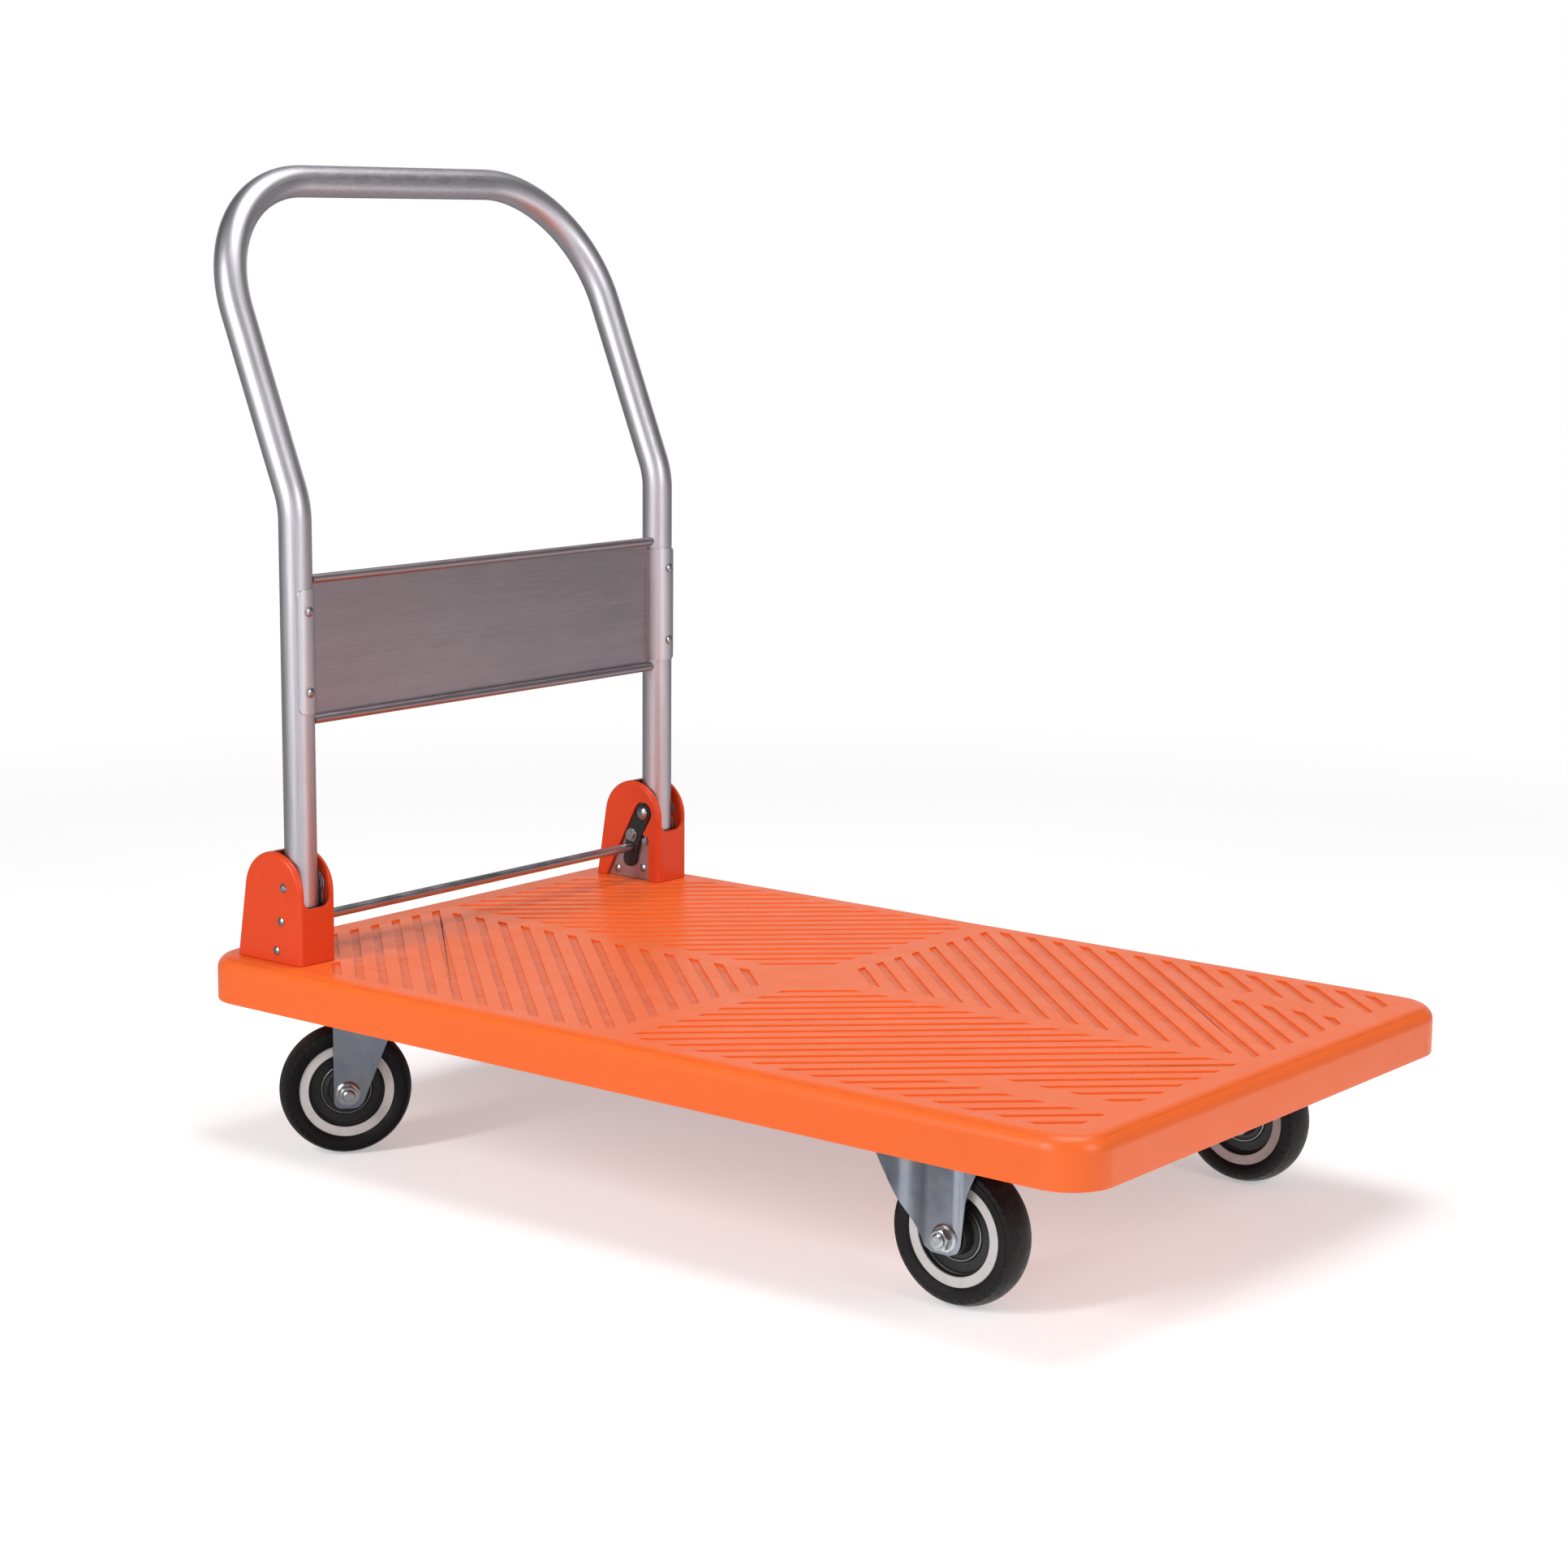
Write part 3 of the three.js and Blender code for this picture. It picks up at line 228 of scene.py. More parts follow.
class CasterSettings(bpy.types.PropertyGroup):
    plate_length: length("Plate length", 105, "Mounting plate along the deck")
    plate_width: length("Plate width", 84, "Mounting plate across the deck")
    plate: length("Plate thickness", 3, "Thickness of the mounting plate")
    plate_corner: length("Plate corner", 10, "Rounding of the plate's corners")
    plate_top: length("Plate height", 159.7, "Floor to the plate's upper face")
    plate_back: length("Plate set-back", 23, "How far a rigid caster's plate lies behind its axle")
    bolt_long: length("Bolts along", 80, "Bolt spacing along the deck")
    bolt_wide: length("Bolts across", 60, "Bolt spacing across the deck")
    sheet: length("Fork sheet", 3, "Thickness of the fork's sheet")
    inner: length("Fork inside", 23.5, "Half of the space between the legs")
    crown: length("Crown height", 139, "Floor to the upper face of a swivel fork's crown")
    crown_radius: length("Crown radius", 31, "Rounding of the crown about its kingpin")
    trail: length("Trail", 34, "From the kingpin back to the axle")
    colour: tint("Zinc colour", (0.259, 0.273, 0.31), "Zinc plate of the forks")


# ------------------------------------------------------------ flat shapes
def mm(*points):
    """Points given in millimetres."""
    return [tuple(part / 1000 for part in point) for point in points]


def raised(points, by):
    """Points (across, up), moved up."""
    return [(across, up + by) for across, up in points]


def arc(centre, radius, start, end, steps=8):
    """Points (across, up) on an arc, from one angle to another."""
    turns = [start + (end - start) * i / steps for i in range(steps + 1)]
    return [(centre[0] + radius * math.cos(turn), centre[1] + radius * math.sin(turn)) for turn in turns]


def eased(corners, steps=5):
    """A closed outline through corners (across, up, rounding), with each corner rounded."""
    points = []
    for i, (x, y, radius) in enumerate(corners):
        if radius == 0:
            points.append((x, y))
            continue
        here = Vector((x, y))
        before = Vector(corners[i - 1][:2]) - here
        after = Vector(corners[(i + 1) % len(corners)][:2]) - here
        half = before.angle(after) / 2
        before.normalize()
        after.normalize()
        back = radius / math.tan(half)
        centre = here + (before + after).normalized() * radius / math.sin(half)
        first = here + before * back - centre
        swing = first.angle_signed(here + after * back - centre)
        for step in range(steps + 1):
            spoke = first.copy()
            spoke.rotate(Matrix.Rotation(-swing * step / steps, 2))
            points.append(tuple(centre + spoke))
    return points


def rectangle(half_x, half_y, radius, steps=6):
    return eased([(a * half_x, b * half_y, radius) for a, b in ((1, 1), (-1, 1), (-1, -1), (1, -1))], steps)


def tapered_bar(start, start_radius, end, end_radius, steps=14):
    """The outline round two circles."""
    run = Vector(end) - Vector(start)
    bearing = math.atan2(run.y, run.x)
    spread = math.acos((start_radius - end_radius) / run.length)
    return (arc(start, start_radius, bearing + spread, bearing - spread + 2 * math.pi, steps)
            + arc(end, end_radius, bearing - spread, bearing + spread, steps))


def stood(points, level, plane="XZ"):
    """Flat points as places in space: across and up in the plane, with the level on its third axis."""
    order = {"XZ": (0, 2, 1), "YZ": (2, 0, 1), "XY": (0, 1, 2)}[plane]
    return [Vector([(a, b, level)[i] for i in order]) for a, b in points]


# ------------------------------------------------------------ modelling by hand
def mode(name):
    bpy.ops.object.mode_set(mode=name)


def everything():
    bpy.ops.mesh.select_all(action="SELECT")


def rest():
    """Object mode, with nothing selected."""
    if bpy.context.object is not None and bpy.context.object.mode != "OBJECT":
        mode("OBJECT")
    bpy.ops.object.select_all(action="DESELECT")


def focus(piece):
    rest()
    piece.select_set(True)
    bpy.context.view_layer.objects.active = piece


def drop(piece):
    focus(piece)
    bpy.ops.object.delete()


def named(piece, name):
    piece.name = piece.data.name = name
    return piece


def settle(name):
    """Names a new primitive, and puts its place into its mesh."""
    bpy.ops.object.transform_apply(location=True, rotation=True, scale=True)
    return named(bpy.context.object, name)


def edit(piece, kind="VERT"):
    """Edit mode, with all of a piece selected."""
    focus(piece)
    mode("EDIT")
    bpy.ops.mesh.select_mode(type=kind)
    everything()


def pick(piece, kind, test):
    """Selects the faces that pass a test of middle and normal, or the edges or vertices by their points."""
    edit(piece, kind)
    bpy.ops.mesh.select_all(action="DESELECT")
    mode("OBJECT")
    mesh = piece.data
    if kind == "FACE":
        for face in mesh.polygons:
            face.select = test(face.center, face.normal)
    elif kind == "EDGE":
        for line in mesh.edges:
            line.select = test(*(mesh.vertices[i].co for i in line.vertices))
    else:
        for vertex in mesh.vertices:
            vertex.select = test(vertex.co)
    mode("EDIT")


def block(name, low, high):
    rest()
    low, high = Vector(low), Vector(high)
    bpy.ops.mesh.primitive_cube_add(size=1, location=(low + high) / 2, scale=high - low)
    return settle(name)


def draw(points):
    """Draws a line from the selected vertex, which is the first of the points."""
    for here, there in zip(points, points[1:]):
        bpy.ops.mesh.extrude_vertices_move(TRANSFORM_OT_translate={"value": there - here})


def drawn(name, points):
    """A piece that is a line of points, all selected."""
    rest()
    bpy.ops.mesh.primitive_plane_add(size=SEED, location=points[0])
    piece = settle(name)
    edit(piece)
    bpy.ops.mesh.merge(type="CENTER")
    draw(points)
    everything()
    return piece


def extrude(step):
    bpy.ops.mesh.extrude_region_move(TRANSFORM_OT_translate={"value": step})


def bend(turn, centre, axis, steps):
    """Sweeps what is selected round an axis, anticlockwise for a positive turn."""
    bpy.ops.mesh.spin(steps=steps, angle=-turn, center=centre, axis=axis)


def face_out():
    """Turns every selected face outwards, and leaves edit mode."""
    bpy.ops.mesh.normals_make_consistent(inside=False)
    mode("OBJECT")


def tidy():
    """Merges doubles and turns every face outwards."""
    everything()
    bpy.ops.mesh.remove_doubles(threshold=SAME_PLACE)
    face_out()


def strip(name, line, level, step, plane="XZ"):
    """A flat line of points, stood at a level of a plane and extruded by a step."""
    piece = drawn(name, stood(line, level, plane))
    extrude(step)
    tidy()
    return piece


def slab(name, outline, level, step, plane="XZ", centre=ORIGIN):
    """A flat outline, stood at a level of a plane, with its face extruded by a step."""
    piece = drawn(name, [point + centre for point in stood(outline, level, plane)])
    bpy.ops.mesh.edge_face_add()
    extrude(step)
    tidy()
    return piece


def turned(name, profile, steps=48, centre=ORIGIN, axis=Y):
    """A turned piece, from a profile of (radius, height) pairs about an axis."""
    across = X if abs(axis.x) < 0.5 else Y
    piece = drawn(name, [centre + across * radius + axis * height for radius, height in profile])
    bend(2 * math.pi, centre, axis, steps)
    tidy()
    return piece


def ring(name, profile, steps=48, centre=ORIGIN, axis=Y):
    """A turned piece whose profile closes on itself."""
    return turned(name, [*profile, profile[0]], steps, centre, axis)


def prism(sides, radius, low, high, centre=ORIGIN, axis=Y, turn=0.0):
    """A prism of a few sides about an axis, such as a hexagon."""
    corners = arc((0, 0), radius, turn, turn + 2 * math.pi, sides)[:-1]
    return slab("prism", corners, low, axis * (high - low), "XZ" if abs(axis.y) > 0.5 else "XY", centre)


def drill(radius, low, high, centre=ORIGIN, axis=Y):
    """A cutter for a round hole."""
    return prism(24, radius, low, high, centre, axis)


def modify(piece, kind, **values):
    focus(piece)
    modifier = piece.modifiers.new(kind.title(), kind)
    for key, value in values.items():
        setattr(modifier, key, value)
    bpy.ops.object.modifier_apply(modifier=modifier.name)


def carve(piece, *tools, operation="DIFFERENCE"):
    for tool in tools:
        modify(piece, "BOOLEAN", object=tool, operation=operation, solver="MANIFOLD")
        drop(tool)


def unite(piece, *others):
    carve(piece, *others, operation="UNION")


def flatten(piece):
    """Makes one face of the pieces that a cut leaves in a plane."""
    edit(piece)
    bpy.ops.mesh.dissolve_limited(angle_limit=math.radians(0.3))
    mode("OBJECT")


def soften(piece, width, segments=2, above=50):
    """Rounds every edge that is sharper than an angle."""
    modify(piece, "BEVEL", width=width, segments=segments, limit_method="ANGLE", angle_limit=math.radians(above),
           use_clamp_overlap=False, harden_normals=False, miter_outer="MITER_ARC")


def smooth(piece, below=30):
    focus(piece)
    bpy.ops.object.shade_smooth_by_angle(angle=math.radians(below))
    modify(piece, "WEIGHTED_NORMAL", mode="FACE_AREA_WITH_ANGLE", weight=50, keep_sharp=True)


def duplicated(piece, name, **values):
    """A copy with its own mesh, placed by its location, rotation or scale."""
    focus(piece)
    bpy.ops.object.duplicate()
    for key, value in values.items():
        setattr(bpy.context.object, key, value)
    return settle(name)


def mirrored(piece, name):
    """A copy on the other side of the cart."""
    copy = duplicated(piece, name, scale=(1, -1, 1))
    edit(copy)
    face_out()
    return copy


def turned_over(piece):
    """Mirrors a piece to the other side, in place of the first."""
    other = mirrored(piece, f"{piece.name}_over")
    drop(piece)
    return other


def fit(piece, finish, slot, body, *nodes):
    """Gives a piece its finish and its body, in place of its frame nodes."""
    piece.data.materials.clear()
    piece.data.materials.append(FINISHES[finish]())
    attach(piece, body)
    if nodes:
        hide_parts(*nodes)


# ------------------------------------------------------------ finishes
class Bench:
    """A node tree, with short ways to add to it. Values are numbers, colours or other nodes' sockets."""

    def __init__(self, owner):
        owner.use_nodes = True
        self.tree = owner.node_tree

    def feed(self, socket, value):
        if isinstance(value, bpy.types.NodeSocket):
            self.tree.links.new(value, socket)
        else:
            socket.default_value = (*value, 1) if socket.type == "RGBA" else value

    def node(self, kind, inputs=(), **options):
        made = self.tree.nodes.new(f"ShaderNode{kind}")
        for key, value in options.items():
            setattr(made, key, value)
        for key, value in dict(inputs).items():
            self.feed(made.inputs[key], value)
        return made

    def ramp(self, value, low, high, to_low=0.0, to_high=1.0):
        values = {"Value": value, "From Min": low, "From Max": high, "To Min": to_low, "To Max": to_high}
        return self.node("MapRange", values).outputs["Result"]

    def maths(self, operation, *values):
        return self.node("Math", enumerate(values), operation=operation).outputs[0]

    def measure(self, operation, *vectors):
        return self.node("VectorMath", enumerate(vectors), operation=operation).outputs["Value"]


class Finish(Bench):
    """A material, whose nodes are led into its shader."""

    def __init__(self, name, colour=None, own_place=False, **values):
        self.material = bpy.data.materials.new(name)
        super().__init__(self.material)
        self.colour = colour
        self.normal = None
        self.shader = self.tree.nodes["Principled BSDF"]
        for key, value in values.items():
            self.lead(key.replace("_", " ").title().replace("Ior", "IOR"), value)
        if own_place:
            self.place = self.node("Attribute", attribute_name="place").outputs["Vector"]
        else:
            self.place = self.node("TexCoord").outputs["Object"]

    def lead(self, key, value):
        self.feed(self.shader.inputs[key], value)

    def noise(self, scale, detail=3.0, roughness=0.5, stretch=None, distortion=0.0):
        vector = self.place
        if stretch:
            vector = self.node("Mapping", {"Vector": vector, "Scale": stretch}).outputs["Vector"]
        values = {"Vector": vector, "Scale": scale, "Detail": detail, "Roughness": roughness,
                  "Distortion": distortion}
        return self.node("TexNoise", values).outputs["Fac"]

    def rings(self, scale, distortion=0.0):
        """Fine turning marks about the piece's own axle."""
        values = {"Vector": self.place, "Scale": scale, "Distortion": distortion}
        return self.node("TexWave", values, wave_type="RINGS", rings_direction="Y").outputs["Fac"]

    def coordinate(self, axis):
        return self.node("SeparateXYZ", {"Vector": self.place}).outputs[axis]

    def mix(self, factor, first, second):
        """Between two colours. A number stands for a strength of the finish's own colour."""
        first, second = (toned(self.colour, tone) if isinstance(tone, float) else tone for tone in (first, second))
        return self.node("Mix", {0: factor, 6: first, 7: second}, data_type="RGBA").outputs[2]

    def wear(self, value, low, high, more=None):
        """Leads a roughness that wanders between two values, with more added to it, into the shader."""
        rough = self.ramp(value, 0.3, 0.7, low, high)
        self.lead("Roughness", self.maths("ADD", rough, more) if more else rough)

    def relief(self, height, depth, strength):
        """Adds fine relief of a depth in metres."""
        values = {"Height": height, "Distance": depth, "Strength": strength}
        if self.normal:
            values["Normal"] = self.normal
        self.normal = self.node("Bump", values).outputs["Normal"]
        self.lead("Normal", self.normal)


def toned(colour, by):
    return tuple(min(1.0, channel * by) for channel in colour)


def deck_orange():
    size = bpy.context.scene.cart_deck
    bench = Finish("deck_orange", size.colour, roughness=0.36, specular_ior_level=0.36)
    tone = bench.mix(bench.noise(5, 4, 0.6), 0.93, 1.05)
    tone = bench.mix(bench.ramp(bench.noise(900, 2), 0.62, 0.75, 0, 0.10), tone, 1.25)
    # Painted shade: surfaces 0.6 to 3 mm below the load surface, mostly the groove floors, are darkened towards 0.8
    # of the colour, broken up by noise.
    height = bench.coordinate("Z")
    sunk = bench.ramp(height, DECK_TOP - size.groove_depth, DECK_TOP - size.groove_depth * 0.3, 1, 0)
    inside = bench.maths("MULTIPLY", sunk, bench.ramp(height, DECK_TOP - 0.0030, DECK_TOP - 0.0024))
    darkening = bench.maths("MULTIPLY", inside, bench.ramp(bench.noise(60, 4), 0.3, 0.7, 0.35, 1.0))
    bench.lead("Base Color", bench.mix(darkening, tone, 0.80))
    scuffs = bench.ramp(bench.noise(14, 6, 0.7, (1, 9, 1), 1.5), 0.60, 0.74, 0, 0.10)
    bench.wear(bench.noise(30, 5, 0.6), 0.30, 0.40, scuffs)
    bench.relief(bench.noise(7, 2), 0.0012, 0.25)
    bench.relief(bench.noise(1400, 3), 0.00005, 0.35)
    return bench.material


def housing_orange():
    bench = Finish("housing_orange", bpy.context.scene.cart_hinge.colour, roughness=0.3, specular_ior_level=0.25)
    tone = bench.mix(bench.noise(22, 4, 0.6), 0.92, 1.08)
    bench.lead("Base Color", bench.mix(bench.ramp(bench.noise(1300, 2), 0.62, 0.75, 0, 0.05), tone, 1.4))
    bench.wear(bench.noise(60, 2, 0.5), 0.27, 0.33)
    bench.relief(bench.noise(30, 1), 0.0005, 0.10)
    bench.relief(bench.noise(1800, 2), 0.000004, 0.2)
    return bench.material


def satin_tube():
    colour = bpy.context.scene.cart_handle.colour
    bench = Finish("satin_tube", colour, own_place=True, metallic=1.0, roughness=0.4)
    streaks = bench.noise(900, 4, 0.6, (1, 1, 0.012))
    cloud = bench.noise(14, 4, 0.6)
    tone = bench.mix(bench.ramp(streaks, 0.3, 0.7), 0.86, 1.12)
    bench.lead("Base Color", bench.mix(bench.ramp(cloud, 0.4, 0.75, 0, 0.35), tone, 0.84))
    bench.wear(streaks, 0.36, 0.44, bench.ramp(cloud, 0.3, 0.8, 0, 0.08))
    bench.relief(streaks, 0.00001, 0.3)
    return bench.material


def satin_bar():
    bench = Finish("satin_bar", bpy.context.scene.cart_handle.colour, metallic=1.0, roughness=0.36)
    streaks = bench.noise(1100, 4, 0.6, (1, 0.012, 1))
    bench.lead("Base Color", bench.mix(bench.ramp(streaks, 0.3, 0.7), 0.78, 1.04))
    bench.wear(bench.noise(40, 4), 0.28, 0.42)
    bench.relief(streaks, 0.00003, 0.5)
    return bench.material


def brushed_sheet(name, stretch, colour, wing=None):
    """Brushed steel. Beyond the wing's place to either side it is lightened to the tube's colour and streaks: a
    painted highlight on the curved wings.
    """
    bench = Finish(name, colour, metallic=1.0, roughness=0.4)
    lines = bench.noise(1600, 5, 0.7, stretch)
    cloud = bench.noise(8, 4, 0.6)
    tone = bench.mix(bench.ramp(lines, 0.3, 0.7), 0.78, 1.16)
    tone = bench.mix(bench.ramp(bench.noise(90, 3, 0.6, stretch), 0.35, 0.7, 0, 0.30), tone, 1.30)
    tone = bench.mix(bench.ramp(cloud, 0.35, 0.75, 0, 0.4), tone, 0.82)
    # Painted highlight: beyond the wing's place, the wings are lightened to the tube's brighter colour.
    if wing:
        tube = bpy.context.scene.cart_handle.colour
        aside = bench.ramp(bench.maths("ABSOLUTE", bench.coordinate("Y"), 0), wing, wing + 0.002)
        tone = bench.mix(aside, tone, bench.mix(bench.ramp(lines, 0.3, 0.7), toned(tube, 0.95), toned(tube, 1.15)))
    bench.lead("Base Color", tone)
    bench.wear(lines, 0.32, 0.44, bench.ramp(cloud, 0.3, 0.7, 0, 0.06))
    bench.relief(lines, 0.00003, 0.6)
    bench.relief(bench.noise(9, 2), 0.0015, 0.25)
    return bench.material


def brushed_panel():
    wing = UPRIGHT_Y - bpy.context.scene.cart_handle.radius
    return brushed_sheet("brushed_panel", (1, 0.014, 1), bpy.context.scene.cart_panel.colour, wing)


def brushed_bracket():
    return brushed_sheet("brushed_bracket", (1, 1, 0.03), toned(bpy.context.scene.cart_panel.colour, 1.2))


def zinc_plate():
    colour = bpy.context.scene.cart_caster.colour
    bench = Finish("zinc_plate", colour, own_place=True, metallic=1.0, roughness=0.36)
    blue, straw = [tuple(channel * by for channel, by in zip(colour, shift))
                   for shift in ((0.88, 0.95, 1.06), (1.10, 1.06, 1.02))]
    tone = bench.mix(bench.ramp(bench.noise(45, 5, 0.65), 0.32, 0.68), blue, straw)
    tone = bench.mix(bench.ramp(bench.noise(330, 4, 0.7), 0.62, 0.70, 0, 0.15), tone, 0.55)
    rolled = bench.noise(700, 3, 0.6, (1, 1, 0.05))
    bench.lead("Base Color", bench.mix(bench.ramp(rolled, 0.35, 0.7, 0, 0.25), tone, 1.2))
    bench.wear(bench.noise(85, 5, 0.6), 0.24, 0.38)
    spangle = bench.node("TexVoronoi", {"Vector": bench.place, "Scale": 520}).outputs["Distance"]
    bench.relief(spangle, 0.00003, 0.5)
    bench.relief(bench.noise(28, 2), 0.0006, 0.25)
    return bench.material


def bright_plate():
    bench = Finish("bright_plate", metallic=1.0, roughness=0.22)
    tone = bench.mix(bench.ramp(bench.noise(240, 4), 0.3, 0.7), (0.36, 0.37, 0.39), (0.52, 0.52, 0.53))
    # Random spots of grime darken the plate.
    darkening = bench.ramp(bench.noise(520, 5, 0.7), 0.58, 0.70, 0, 0.45)
    bench.lead("Base Color", bench.mix(darkening, tone, (0.22, 0.21, 0.20)))
    bench.wear(bench.noise(400, 4), 0.26, 0.38)
    bench.relief(bench.noise(1500, 3), 0.00002, 0.4)
    return bench.material


def black_enamel():
    bench = Finish("black_enamel", metallic=0.0, roughness=0.42)
    tone = bench.mix(bench.noise(70, 4), (0.010, 0.009, 0.010), (0.022, 0.021, 0.022))
    scratches = bench.ramp(bench.noise(420, 5, 0.7, (1, 1, 0.15), 1.0), 0.66, 0.74, 0, 0.5)
    bench.lead("Base Color", bench.mix(scratches, tone, (0.10, 0.10, 0.10)))
    bench.wear(bench.noise(300, 4), 0.34, 0.52)
    bench.relief(bench.noise(900, 3), 0.00004, 0.5)
    return bench.material


def tyre_rubber():
    size = bpy.context.scene.cart_wheel
    bench = Finish("tyre_rubber", size.rubber, own_place=True, roughness=0.6, specular_ior_level=0.2)
    tone = bench.mix(bench.noise(60, 4, 0.6), 0.75, 1.7)
    flat = bench.node("VectorMath", {0: bench.place, 1: (1, 0, 1)}, operation="MULTIPLY").outputs[0]
    tread = bench.ramp(bench.measure("LENGTH", flat), size.radius - 0.005, size.radius - 0.0005)
    dust = bench.maths("MULTIPLY", tread, bench.ramp(bench.noise(130, 6, 0.75), 0.42, 0.72, 0.05, 0.55))
    bench.lead("Base Color", bench.mix(dust, tone, (0.062, 0.052, 0.046)))
    bench.wear(bench.noise(150, 5), 0.46, 0.60, bench.ramp(dust, 0, 0.6, 0, 0.25))
    bench.relief(bench.rings(420, 0.6), 0.00003, 0.35)
    bench.relief(bench.noise(1500, 4), 0.00006, 0.6)
    return bench.material


def hub_black():
    bench = Finish("hub_black", own_place=True, roughness=0.45, specular_ior_level=0.35)
    turning = bench.rings(300)
    tone = bench.mix(bench.noise(90, 4), (0.010, 0.009, 0.010), (0.020, 0.018, 0.019))
    bench.lead("Base Color", bench.mix(bench.ramp(turning, 0.6, 1.0, 0, 0.25), tone, (0.045, 0.040, 0.040)))
    bench.wear(bench.noise(200, 4), 0.34, 0.52)
    bench.relief(turning, 0.00004, 0.5)
    bench.relief(bench.noise(1100, 3), 0.00003, 0.4)
    return bench.material


def ring_grey():
    bench = Finish("ring_grey", bpy.context.scene.cart_wheel.ring_colour, own_place=True, roughness=0.5)
    turning = bench.rings(380, 0.3)
    stains = bench.ramp(bench.noise(75, 6, 0.7), 0.48, 0.78, 0, 0.45)
    bench.lead("Base Color", bench.mix(stains, bench.mix(turning, 0.90, 1.06), 0.62))
    bench.wear(bench.noise(180, 4), 0.40, 0.58)
    bench.relief(turning, 0.00004, 0.5)
    return bench.material


FINISHES = {build.__name__: cache(build) for build in (
    deck_orange, housing_orange, satin_tube, satin_bar, brushed_panel, brushed_bracket, zinc_plate, bright_plate,
    black_enamel, tyre_rubber, hub_black, ring_grey)}


# ------------------------------------------------------------ deck
def clipped(points, place, normal):
    """The part of a flat convex outline on the side of a line that its normal points to."""
    left = []
    for here, there in zip(points, points[1:] + points[:1]):
        before, after = (here - place).dot(normal), (there - place).dot(normal)
        if before >= 0:
            left.append(here)
        if before * after < 0:
            left.append(here.lerp(there, before / (before - after)))
    return left


def extent(points):
    """Area of a flat outline."""
    pairs = zip(points, points[1:] + points[:1])
    return abs(sum(here.x * there.y - there.x * here.y for here, there in pairs)) / 2


def around_plain(groove, cuts, least):
    """What is left of a groove beside a plain place: the largest parts that lie wholly outside it."""
    inside = groove
    for place, normal in cuts:
        inside = clipped(inside, place, -normal)
    if len(inside) < 3 or extent(inside) < least / 20:
        return [groove]
    parts = []
    for cut in sorted(cuts, key=lambda cut: -extent(clipped(groove, *cut))):
        part = clipped(groove, *cut)
        apart = all(extent(clipped(other, *cut)) < 1e-9 for other in parts)
        if len(part) > 2 and extent(part) > least and apart:
            parts.append(part)
    return parts


def groove_outlines(size):
    """Outlines of the tread's grooves, on nested diamonds about the deck's middle."""
    half_long, half_wide = (DECK_HIGH.x - DECK_LOW.x) / 2, (DECK_HIGH.y - DECK_LOW.y) / 2
    near = Vector((size.band_across / 2, size.band_along / 2))
    far = Vector((half_long - size.border_end, half_wide - size.border_side))
    along = Vector((math.cos(size.groove_angle), -math.sin(size.groove_angle)))
    across = Vector((-along.y, along.x))
    half = size.groove_width / 2 + size.lip
    least = size.groove_shortest * size.groove_width
    hinge = bpy.context.scene.cart_hinge
    hinge_x = -(PIVOT.x - DECK_MIDDLE.x + hinge.front + size.hinge_margin)
    hinge_y = UPRIGHT_Y - hinge.width / 2 - size.hinge_margin
    pad_x = far.x - size.pad_length
    pad_low = half_wide - size.pad_inset - size.pad_width
    up, ahead = Vector((0, 1)), Vector((1, 0))
    plain = {
        -1: [(Vector((hinge_x, 0)), -ahead), (Vector((0, hinge_y)), -up)],
        1: [(Vector((pad_x, 0)), -ahead), (Vector((0, pad_low)), -up),
            (Vector((0, pad_low + size.pad_width)), up)],
    }
    found = []
    meet = size.groove_first
    while meet < far.x + far.y / math.tan(size.groove_angle):
        centre = Vector((meet, 0))
        groove = [centre + along * 2 * a + across * half * b for a, b in ((-1, -1), (1, -1), (1, 1), (-1, 1))]
        for place, normal in ((near, ahead), (near, up), (far, -ahead), (far, -up)):
            groove = clipped(groove, place, normal)
        if len(groove) > 2 and extent(groove) > least:
            for end, cuts in plain.items():
                for part in around_plain(groove, cuts, least):
                    found += [[Vector((end * point.x, side * point.y)) for point in part] for side in (1, -1)]
        meet += size.groove_pitch
    return found


def groove_cutter(size):
    """One cutter for every groove, with a rounded lip, walls that lean a little and an eased floor."""
    cutter = None
    for points in groove_outlines(size):
        places = [Vector((point.x + DECK_MIDDLE.x, point.y, DECK_TOP + GAP)) for point in points]
        if cutter is None:
            cutter = drawn("groove_cutter", places)
        else:
            bpy.ops.mesh.select_all(action="DESELECT")
            bpy.ops.mesh.primitive_plane_add(size=SEED, location=places[0])
            bpy.ops.mesh.merge(type="CENTER")
            draw(places)
            bpy.ops.mesh.select_linked()
        bpy.ops.mesh.edge_face_add()
    everything()
    extrude(-Z * GAP)
    tidy()
    pick(cutter, "FACE", lambda place, normal: normal.z < STRAIGHT_DOWN)
    lip, ease, lean = size.lip, 0.0004, 0.0001
    turns = [math.radians(step) for step in (0, 30, 60, 90)]
    steps = [(lip * (math.sin(end) - math.sin(start)), lip * (math.cos(start) - math.cos(end)))
             for start, end in zip(turns, turns[1:])]
    steps += [(lean, size.groove_depth - lip - ease), (ease * 0.3, ease * 0.7), (ease * 0.7, ease * 0.3)]
    for thickness, depth in steps:
        bpy.ops.mesh.inset(thickness=thickness, depth=depth, use_individual=True)
    mode("OBJECT")
    return cutter


